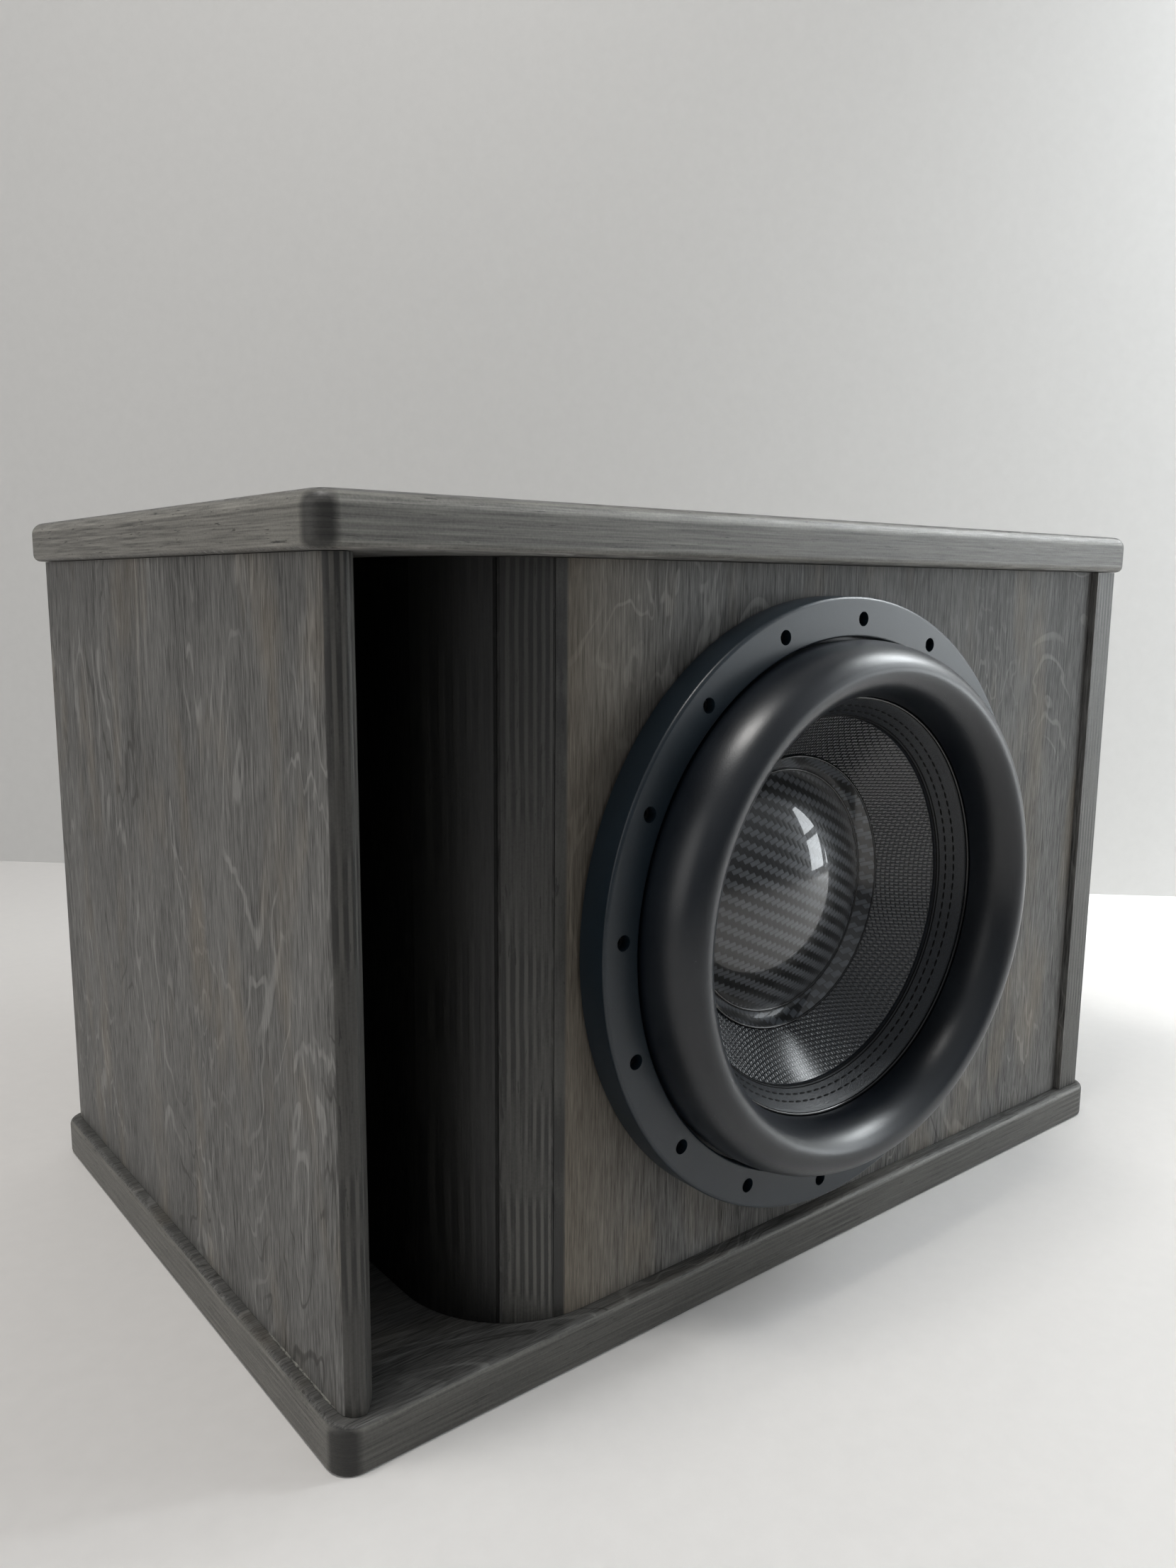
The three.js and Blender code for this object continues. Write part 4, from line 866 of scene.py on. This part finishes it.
class OBJECT_OT_basket(bpy.types.Operator):
    """Make the cast basket, its gasket and the mounting screws"""
    bl_idname = "subwoofer.basket"
    bl_label = "Cast Basket"

    def execute(self, context):
        rim = RIM_RADIUS / MM
        edge = 1.5
        profile = [
            (rim, RIM_BACK),
            *arc((rim - edge, RIM_FRONT - edge), edge, edge, 0, 90, 6),
            *arc((RIM_INNER + 0.9, RIM_FRONT - 0.9), 0.9, 0.9, 90, 180, 4),
            (RIM_INNER, SEAT), (104, SEAT), (104, 3), (83.9, -45), (83.9, -62), (72.1, -62), (72.1, -88.5),
            (42.1, -88.5), (42.1, -95), (80, -95), (80, -66), (87.9, -62), (87.9, -45), (111, -2.15),
            (111, RIM_BACK),
        ]
        mesh = turned(profile, 176)
        head = rod(3 * MM, 13 * MM, on_driver(BOLT_RADIUS, RIM_FRONT), 28)
        shank = rod(1.9 * MM, 60 * MM, on_driver(BOLT_RADIUS, 0), 16)
        windows = block((44 * MM, 34 * MM, 44 * MM), on_driver(98, -25), 3 * MM)
        lower = block((22 * MM, 15 * MM, 26 * MM), on_driver(76.1, -77), 2 * MM)
        tools = join([
            around(join([head, shank]), BOLTS, BOLT_PHASE), around(windows, 8), around(lower, 8)])
        mesh = cut(mesh, tools)
        piece("cast_basket", mesh, powder_coat(), BODY, ["basket"], smooth=32, weighted=True)

        # Closed-cell foam: matt, with fine open cells at its cut edge.
        foam = speckled("closed_cell_foam", linear(0x0E0E0F), linear(0x1E1F20), 0.5, (0.8, 0.95), 0.1)
        gasket = turned([(113, 0.3), (rim - 1.5, 0.3), (rim - 1.3, 0.9), (rim - 1.5, 1.55), (113, 1.55)], 144)
        piece("rim_gasket", gasket, foam, BODY, ["mounting_gasket"])
        cup_gasket = turned([(CUP_OPENING, 0.3), (38.5, 0.3), (38.5, 1.55), (CUP_OPENING, 1.55)], 96, on_cup)
        piece("cup_gasket", cup_gasket, foam, BODY, ["terminal_gasket"])

        top = RIM_FRONT - 3.6
        head = bmesh.new()
        bmesh.ops.create_cone(
            head, cap_ends=True, segments=24, radius1=2.6 * MM, radius2=2.6 * MM, depth=2.6 * MM)
        cap = max(head.faces, key=lambda f: f.calc_center_median().z)
        bmesh.ops.inset_individual(head, faces=[cap], thickness=1.15 * MM)
        sunk = bmesh.ops.extrude_discrete_faces(head, faces=[cap])["faces"][0]
        bmesh.ops.translate(head, vec=(0, 0, -1.5 * MM), verts=sunk.verts[:])
        bmesh.ops.rotate(head, cent=(0, 0, 0), matrix=Matrix.Rotation(math.pi / 2, 3, "X"), verts=head.verts)
        bmesh.ops.translate(head, vec=on_driver(BOLT_RADIUS, top - 1.3), verts=head.verts)
        shank = rod(1.1 * MM, (top - 2.6 + 14) * MM, on_driver(BOLT_RADIUS, (top - 2.6 - 14) / 2), 10)
        # Black oxide on rolled steel: dark, slightly oily.
        steel = speckled("black_oxide_steel", linear(0x1A1B1C), linear(0x3A3B3D), 0.8, (0.3, 0.45), 0.03,
            Metallic=0.9)
        piece("mounting_screws", around(join([head, shank]), BOLTS, BOLT_PHASE), steel, BODY,
              [f"mounting_screw_{i + 1:02d}" for i in range(BOLTS)])
        return {"FINISHED"}


class OBJECT_OT_surround(bpy.types.Operator):
    """Make the high roll surround"""
    bl_idname = "subwoofer.surround"
    bl_label = "Surround"

    def execute(self, context):
        driver = context.scene.cabinet_driver
        width, rise = driver.roll_half_width / MM, driver.roll_rise / MM
        half = ROLL_HALF_THICKNESS
        centre = (RIM_INNER - 1 - width - half, 18.5)
        lip = SEAT + 0.3
        profile = [
            (105, lip),
            *arc(centre, width + half, rise + half, -28, 182, 44),
            *arc(centre, width - half, rise - half, 182, -22, 40),
            (110.5, lip + 2.2), (105, lip + 2.2),
        ]
        roll = piece("surround_roll", turned(profile, 168), moulded_foam(), None, ["surround"],
            smooth=60)
        follow_cone(roll)
        return {"FINISHED"}


class OBJECT_OT_cone(bpy.types.Operator):
    """Make the cone, its stitched band and its dust cap"""
    bl_idname = "subwoofer.cone"
    bl_label = "Cone and Dust Cap"

    def execute(self, context):
        driver = context.scene.cabinet_driver
        drop = 11.2
        slope = drop / (BAND_OUTER - BAND_INNER)
        inner_height = BAND_FRONT - drop

        def on_band(radius):
            return inner_height + (radius - BAND_INNER) * slope

        outer = BAND_OUTER - 0.3
        band = turned([
            (outer, on_band(outer) - 1.4), (outer, on_band(outer) - 0.3),
            (outer - 0.5, on_band(outer - 0.5) + 0.15),
            (outer - 1.5, on_band(outer - 1.5)), (BAND_INNER + 0.5, on_band(BAND_INNER + 0.5)),
            (BAND_INNER, inner_height - 0.3), (BAND_INNER, inner_height - 1.4)], 160)
        piece("cone_band_strip", band, grained_band(), CONE_BODY, ["cone_band"])

        # Waxed thread: twisted, slightly glossy.
        thread = speckled(
            "waxed_thread", linear(0x010102), linear(0x050506), 0.4, (0.5, 0.7), 0.1, Specular_IOR_Level=0.2)
        rows = []
        tilt = math.atan(slope)
        for row in range(driver.stitch_rows):
            radius = BAND_INNER + 2.8 + 2.3 * row
            pitch = (driver.stitch_length + driver.stitch_gap) / MM
            count = round(2 * math.pi * radius / pitch)
            stitch = bmesh.new()
            bmesh.ops.create_uvsphere(stitch, u_segments=6, v_segments=5, radius=1)
            bmesh.ops.scale(
                stitch, vec=(0.46 * MM, 0.34 * MM, driver.stitch_length / 2), verts=stitch.verts)
            bmesh.ops.rotate(stitch, cent=(0, 0, 0), matrix=Matrix.Rotation(-tilt, 3, "Z"),
                verts=stitch.verts)
            bmesh.ops.translate(stitch, vec=on_driver(radius, on_band(radius) + 0.12), verts=stitch.verts)
            rows.append(around(stitch, count))
        for radius in (BAND_INNER + 0.3, BAND_INNER + 1.0):
            rows.append(bead(radius, on_band(radius), 0.3, 6, 160))
        piece("band_stitches", join(rows), thread, CONE_BODY)

        under = 1.7
        shell = 2.0

        def on_cone(radius):
            if radius > BAND_INNER:
                return on_band(radius) - under
            return inner_height - under - (BAND_INNER - radius)

        radii = (BAND_OUTER - 1, BAND_INNER + 0.6, BAND_INNER - 0.6, 70, CAP_RING, 50, NECK)
        profile = [(r, on_cone(r)) for r in radii] + [(r, on_cone(r) - shell) for r in reversed(radii)]
        # The cloth stands at the band's inner edge, a little under its face.
        # The paler colour of the threads on top is painted sheen.
        cloth = woven(
            "lacquered_woven_cone_cloth", driver.thread_pitch, False, driver.cloth, linear(0x131921), 0.25,
            0.5,
            coat_roughness=0.2, gloss=0.85, depth=0.6)
        piece("woven_cone", turned(profile, 160), cloth, CONE_BODY, ["cone"])

        # The pale colour of the tows on top is painted sheen.
        carbon = woven(
            "lacquered_carbon_twill", driver.tow_width, True, driver.carbon, linear(0x55585C), 0.36, 1.0,
            turn=math.radians(20), depth=0.06)
        ring_height = inner_height - (BAND_INNER - CAP_RING)
        edge_height = ring_height - (CAP_RING - CAP_EDGE)
        ball = (CAP_EDGE ** 2 + CAP_RISE ** 2) / (2 * CAP_RISE)
        middle = edge_height + CAP_RISE - ball
        reach = math.degrees(math.asin(CAP_EDGE / ball))
        dome = arc((0, middle), ball, ball, 90 - reach, 90, 36)
        inside = arc((0, middle), ball - 1.1, ball - 1.1, 90, 90 - reach, 36)
        profile = [(CAP_EDGE, edge_height - 1.2), (CAP_EDGE + 0.1, edge_height - 0.2)] + dome + inside
        piece("dust_cap_dome", turned(profile, 144), carbon, CONE_BODY, ["dust_cap"])

        # The flat ring is the cap's flange, laid on the cone's slope.
        flange = turned([
            (CAP_EDGE + 0.2, edge_height - 0.4), (CAP_EDGE + 0.7, edge_height + 0.55),
            (CAP_RING - 0.5, ring_height - 0.1),
            (CAP_RING + 0.1, ring_height - 0.3), (CAP_RING + 0.1, ring_height - 1.3),
            (CAP_EDGE + 0.2, edge_height - 1.3)], 144)
        # The pale colour of the tows on top is painted sheen.
        fine_carbon = woven(
            "lacquered_carbon_ring", driver.tow_width, True, driver.carbon, linear(0x4A4E53), 0.3, 1.0,
            turn=math.radians(20), depth=0.05)
        piece("dust_cap_flange", flange, fine_carbon, CONE_BODY)

        # Black rubber cement: glossy, rounded by its own surface tension.
        cement = speckled("rubber_cement", linear(0x050506), linear(0x101113), 2.5, (0.08, 0.2), 0.1)
        beads = [bead(radius, height, size, 8, 144) for radius, height, size in (
            (CAP_EDGE, edge_height + 0.1, 0.75), (CAP_RING + 0.5, ring_height - 0.4, 0.6),
            (BAND_OUTER - 0.6, BAND_FRONT - 0.1, 0.7))]
        piece("cement_beads", join(beads), cement, CONE_BODY, smooth=80)
        return {"FINISHED"}


class OBJECT_OT_suspension(bpy.types.Operator):
    """Make the spiders and the braided leads"""
    bl_idname = "subwoofer.suspension"
    bl_label = "Spiders and Leads"

    def execute(self, context):
        # Phenolic-treated cotton: ochre, matt, with an open weave.
        # The paler ochre of the threads on top is painted sheen.
        cotton = woven(
            "phenolic_spider_cloth", 0.9 * MM, False, linear(0x8C7238), linear(0xC1A35C), 0.8, 0.0, depth=0.3)
        for node in ("rear_spider", "front_spider"):
            low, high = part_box(node)
            base = (BAFFLE_FACE - high.y) / MM
            middle = base + 1.2
            radii = [38.7 + (83.4 - 38.7) * i / 44 for i in range(45)]
            flat = [0.0 if r > 77 or r < 42 else 0.62 * math.sin((r - 42) / 35 * math.pi * 7) for r in radii]
            profile = [(r, middle + w + 0.45) for r, w in zip(radii, flat)]
            profile += [(r, middle + w - 0.45) for r, w in reversed(list(zip(radii, flat)))]
            made = piece(node.replace("spider", "spider_cloth"), turned(profile, 96), cotton, None,
                         [node], smooth=60)
            follow_cone(made)

        # Tinned copper braid: bright strands crossing at a slant.
        braid = speckled("tinned_copper_braid", linear(0x6F665A), linear(0xB5A996), 0.6, (0.3, 0.5), 0.2,
            Metallic=0.9)
        for node in ("coil_lead_plus", "coil_lead_minus"):
            low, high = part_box(node)
            route = bpy.data.curves.new(node, "CURVE")
            route.dimensions = "3D"
            route.bevel_depth = 0.95 * MM
            route.bevel_resolution = 3
            route.use_fill_caps = True
            spline = route.splines.new("NURBS")
            z = (low.z + high.z) / 2
            points = [
                (97.0, -46.2), (96.5, -42.5), (88.7, -37.7), (74.7, -38.4), (60.7, -43), (46, -45.3),
                (40.6, -44.3)]
            spline.points.add(len(points) - 1)
            for point, (radius, height) in zip(spline.points, points):
                at = on_driver(radius, height)
                point.co = (at.x, at.y, z, 1)
            spline.use_endpoint_u = True
            spline.order_u = 4
            curve = bpy.data.objects.new("lead", route)
            context.scene.collection.objects.link(curve)
            context.view_layer.update()
            data = bpy.data.meshes.new_from_object(curve)
            mesh = bmesh.new()
            mesh.from_mesh(data)
            bpy.data.objects.remove(curve)
            bpy.data.curves.remove(route)
            bpy.data.meshes.remove(data)
            bmesh.ops.remove_doubles(mesh, verts=mesh.verts, dist=1e-6)
            bmesh.ops.recalc_face_normals(mesh, faces=mesh.faces)
            made = piece(node.replace("lead", "braid"), mesh, braid, None, [node], smooth=60)
            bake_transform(made)
        return {"FINISHED"}


class OBJECT_OT_motor(bpy.types.Operator):
    """Finish the motor, the coil and the driver's terminals"""
    bl_idname = "subwoofer.motor"
    bl_label = "Motor and Coil"

    def execute(self, context):
        # Turned steel under black passivation.
        dress(speckled("black_passivated_steel", linear(0x17181A), linear(0x2B2D30), 3.0, (0.32, 0.46), 0.04,
                       Metallic=0.85), "top_plate", "pole_and_back_plate")
        # Sintered ferrite with ground faces: charcoal, granular.
        dress(speckled("sintered_ferrite", linear(0x232325), linear(0x3B3B3E), 0.7, (0.55, 0.75), 0.08,
            Metallic=0.2),
              "front_magnet", "rear_magnet")
        # Moulded nitrile rubber, dull.
        dress(speckled("moulded_nitrile_rubber", linear(0x0F0F10), linear(0x1D1D1F), 1.2, (0.6, 0.8), 0.1),
              "magnet_boot")
        # Hard aluminium foil, faintly scratched.
        dress(speckled("aluminium_coil_foil", linear(0x8E9093), linear(0xB4B6B8), 5.0, (0.25, 0.45), 0.03,
                       Metallic=1.0), "coil_former")
        # Enamelled copper wire, four layers of 0.4 mm turns drawn as coarse as they show.
        dress(wound("enamelled_copper_winding", linear(0x3A1608), linear(0xB9652F), 0.8, Metallic=0.9,
            Roughness=0.3),
              "voice_coil")
        # Glass-filled nylon, moulded and slightly mottled.
        dress(speckled("glass_filled_nylon", linear(0x111213), linear(0x232426), 1.0, (0.5, 0.65), 0.08),
              "driver_terminal", "spider_spacer")
        return {"FINISHED"}


class OBJECT_OT_terminals(bpy.types.Operator):
    """Make the terminal cup, its screws, posts and knobs"""
    bl_idname = "subwoofer.terminals"
    bl_label = "Terminal Cup"

    def execute(self, context):
        look = context.scene.cabinet_terminals
        # ABS moulded in a spark-eroded tool: an even fine texture.
        abs_plastic = speckled("spark_textured_abs", linear(0x0F1011), look.plastic, 0.45, (0.42, 0.6), 0.1,
            IOR=1.46)
        floor = -20.15
        mesh = turned([
            (0, floor), (26.6, floor), (27.8, floor + 1.2), (27.8, 3.9), (28.8, 4.85), (37.6, 4.85),
            (38.6, 4.4),
            (39, 3.6), (39, 1.85), (30, 1.85), (30, floor - 2.2), (0, floor - 2.2)], 128, on_cup)
        holes = join([
            *(rod(1.6 * MM, 30 * MM, on_cup(0, 0) + to_cup_screw(i), 16) for i in range(4)),
            *(rod(2.7 * MM, 30 * MM, on_cup(0, floor) + Vector((side * POST_OFFSET * MM, 0, 0)), 20)
              for side in (-1, 1))])
        mesh = cut(mesh, holes)
        piece("moulded_cup", mesh, abs_plastic, BODY, ["terminal_cup"], smooth=32,
            weighted=True)

        steel = speckled("black_zinc_screws", linear(0x17181A), linear(0x35373A), 0.8, (0.3, 0.45), 0.03,
            Metallic=0.9)
        screws = []
        for i in range(4):
            away = to_cup_screw(i)
            head = turned([(0, 5.15), (2.8, 5.15), (2.75, 5.6), (2.2, 6.3), (1.2, 6.75), (0, 6.85)], 28,
                on_cup)
            bmesh.ops.translate(head, vec=away, verts=head.verts)
            slots = join([
                block((2.9 * MM, 1.6 * MM, 0.6 * MM), on_cup(0, 6.9) + away),
                block((0.6 * MM, 1.6 * MM, 2.9 * MM), on_cup(0, 6.9) + away)])
            screws.append(cut(head, slots))
            screws.append(rod(1.2 * MM, 4.8 * MM, on_cup(0, 2.7) + away, 12))
        piece("cup_screws", join(screws), steel, BODY,
            [f"terminal_screw_{i + 1}" for i in range(4)],
              smooth=30)

        # Gold flash over brass: bright, faintly uneven.
        gold = speckled("gold_plated_brass", linear(0xA87A22), linear(0xD9AE4F), 2.0, (0.15, 0.28), 0.02,
            Metallic=1.0)
        red = speckled("red_polycarbonate", linear(0x6D0C0C), look.red, 2.0, (0.2, 0.32), 0.03, IOR=1.58)
        black = speckled("black_polycarbonate", linear(0x070708), look.black, 2.0, (0.2, 0.32), 0.03,
            IOR=1.58)
        for name, side, shell, slot, body in (
                ("red", -1, red, "red_plastic", "red_terminal_knob"),
                ("black", 1, black, "knob_black", "black_terminal_knob")):
            away = Vector((side * POST_OFFSET * MM, 0, 0))
            post = turned([
                (0, floor - 14.2), (2.0, floor - 14.2), (2.4, floor - 13.8), (2.4, floor + 0.3),
                (5, floor + 0.3),
                (5, floor + 3.0), (4.7, floor + 3.3), (2.4, floor + 3.3), (2.4, floor + 16),
                (2.1, floor + 16.3),
                (0, floor + 16.3)], 32, on_cup)
            bmesh.ops.translate(post, vec=away, verts=post.verts)
            piece(f"{name}_binding_post", post, gold, BODY, [f"{name}_post"], smooth=30)
            low = floor + 3.6
            knob = turned([
                (2.7, low), (5.6, low), (6.3, low + 0.7), (6.3, low + 15.8), (5.3, low + 17), (3.4, low + 17),
                (2.7, low + 16.4)], 72, on_cup)
            flute = rod(0.5 * MM, 12 * MM, on_cup(6.5, low + 8.5), 8)
            knob = cut(knob, around(flute, look.knob_flutes, centre=on_cup(0, 0)))
            bmesh.ops.translate(knob, vec=away, verts=knob.verts)
            piece(f"{name}_fluted_knob", knob, shell, body, [f"{name}_knob"], smooth=30)
        # PVC-insulated wire.
        dress(speckled("red_pvc_insulation", linear(0x5F0A0A), look.red, 3.0, (0.35, 0.5), 0.05), "red_wire")
        dress(speckled("black_pvc_insulation", linear(0x070708), look.black, 3.0, (0.35, 0.5), 0.05),
            "black_wire")
        return {"FINISHED"}


# ---- Stage ----
class OBJECT_OT_stage(bpy.types.Operator):
    """Make the floor, the wall, the lights and the camera"""
    bl_idname = "subwoofer.stage"
    bl_label = "Stage"

    def execute(self, context):
        stage = context.scene.cabinet_stage
        floor = bmesh.new()
        bmesh.ops.create_grid(floor, x_segments=2, y_segments=2, size=6)
        wall = bmesh.new()
        bmesh.ops.create_grid(wall, x_segments=2, y_segments=2, size=6)
        bmesh.ops.rotate(wall, cent=(0, 0, 0), matrix=Matrix.Rotation(math.pi / 2, 3, "X"), verts=wall.verts)
        bmesh.ops.rotate(wall, cent=(0, 0, 0), matrix=Matrix.Rotation(math.radians(-44), 3, "Z"),
            verts=wall.verts)
        bmesh.ops.translate(wall, vec=(0.36, 0.44, 5.0), verts=wall.verts)
        for name, mesh, shade in (("floor", floor, stage.floor), ("backdrop", wall, stage.wall)):
            # Emulsion paint on a smooth board: matt with a faint roller texture.
            paint = speckled(f"painted_{name}", tuple(0.97 * c for c in shade), shade, 9.0, (0.55, 0.65),
                0.05)
            data = bpy.data.meshes.new(name)
            mesh.to_mesh(data)
            mesh.free()
            data.materials.append(paint)
            made = bpy.data.objects.new(name, data)
            context.scene.collection.objects.link(made)

        def lamp(name, place, target, size, power, shade, spread=180):
            data = bpy.data.lights.new(name, "AREA")
            data.shape = "RECTANGLE"
            data.size, data.size_y = size
            data.energy = power
            data.color = shade
            data.spread = math.radians(spread)
            made = bpy.data.objects.new(name, data)
            context.scene.collection.objects.link(made)
            made.location = place
            made.rotation_euler = (Vector(target) - Vector(place)).to_track_quat("-Z", "Y").to_euler()

        warm, cool = (1.0, 0.98, 0.95), (0.92, 0.97, 1.0)
        lamp("ceiling_panel_left", (-0.5, -0.1, 1.7), (-0.1, 0, 0.1), (0.5, 0.25), stage.ceiling_power, warm)
        for i in range(3):
            lamp(f"high_pane_{i + 1}", (1.15, -0.66 + 0.26 * i, 1.0), (0, -0.15, 0.15), (0.17, 0.34),
                 stage.ceiling_power * 0.36, cool)
        lamp("wall_light", (1.08, -0.6, 1.6), (1.5, -0.15, 0.95), (0.3, 0.3), stage.wall_power, cool, 110)
        for i, (away, height) in enumerate(((-0.22, 0.3), (0.22, 0.3), (-0.22, 0.8), (0.22, 0.8))):
            lamp(f"window_pane_{i + 1}", (1.5 + 0.6 * away, -0.95 + 0.8 * away, height), (0, 0, 0.2),
                (0.34, 0.4),
                 stage.window_power / 4, cool)
        lamp("side_fill", (-1.7, 0.1, 0.75), (-0.2, 0, 0.15), (1.2, 1.1), stage.side_power, warm)

        # The room is bright overhead and dim at eye level behind the camera.
        world = bpy.data.worlds.new("studio")
        context.scene.world = world
        world.use_nodes = True
        tree = world.node_tree
        node = partial(add, tree)
        place = node("TexCoord")
        axes = node("SeparateXYZ", {0: place.outputs["Generated"]})
        sky = node("ValToRGB", {0: axes.outputs[2]}, stops=[
            (0.05, (0.1, 0.105, 0.115)), (0.6, (0.4, 0.415, 0.43))])
        tree.links.new(sky.outputs[0], tree.nodes["Background"].inputs[0])
        context.scene.view_settings.view_transform = "Standard"

        camera = bpy.data.cameras.new("camera")
        camera.lens = 27.449
        camera.sensor_width = 36
        made = bpy.data.objects.new("camera", camera)
        context.scene.collection.objects.link(made)
        yaw, pitch, roll = (math.radians(a) for a in (38.766, -9.283, 0.480))
        turn = Matrix.Rotation(-yaw, 4, "Z") @ Matrix.Rotation(math.pi / 2 + pitch, 4,
            "X") @ Matrix.Rotation(roll, 4, "Z")
        made.matrix_world = Matrix.Translation((-0.39029, -0.47559, 0.29136)) @ turn
        camera.clip_start = 0.01
        context.scene.camera = made
        return {"FINISHED"}


OPERATORS = (
    OBJECT_OT_stage, OBJECT_OT_plates, OBJECT_OT_walls, OBJECT_OT_port, OBJECT_OT_baffle, OBJECT_OT_glue,
    OBJECT_OT_basket, OBJECT_OT_surround, OBJECT_OT_cone, OBJECT_OT_suspension, OBJECT_OT_motor,
    OBJECT_OT_terminals)
SETTINGS = {
    "cabinet_boards": BoardSettings, "cabinet_driver": DriverSettings, "cabinet_terminals": TerminalSettings,
    "cabinet_stage": StageSettings}


class VIEW3D_PT_subwoofer(bpy.types.Panel):
    """Sizes, colours and makers of the subwoofer cabinet"""
    bl_label = "Subwoofer"
    bl_idname = "VIEW3D_PT_subwoofer"
    bl_space_type = "VIEW_3D"
    bl_region_type = "UI"
    bl_category = "Subwoofer"

    def draw(self, context):
        for key, kind in SETTINGS.items():
            box = self.layout.box()
            for prop in kind.__annotations__:
                box.prop(getattr(context.scene, key), prop)
        for kind in OPERATORS:
            self.layout.operator(kind.bl_idname)


def register():
    for kind in (*SETTINGS.values(), *OPERATORS, VIEW3D_PT_subwoofer):
        bpy.utils.register_class(kind)
    for key, kind in SETTINGS.items():
        setattr(bpy.types.Scene, key, PointerProperty(type=kind))


def unregister():
    for key in SETTINGS:
        delattr(bpy.types.Scene, key)
    for kind in (VIEW3D_PT_subwoofer, *reversed(OPERATORS), *reversed(SETTINGS.values())):
        bpy.utils.unregister_class(kind)


def main():
    register()
    for kind in OPERATORS:
        group, name = kind.bl_idname.split(".")
        getattr(getattr(bpy.ops, group), name)()


if __name__ == "__main__":
    main()
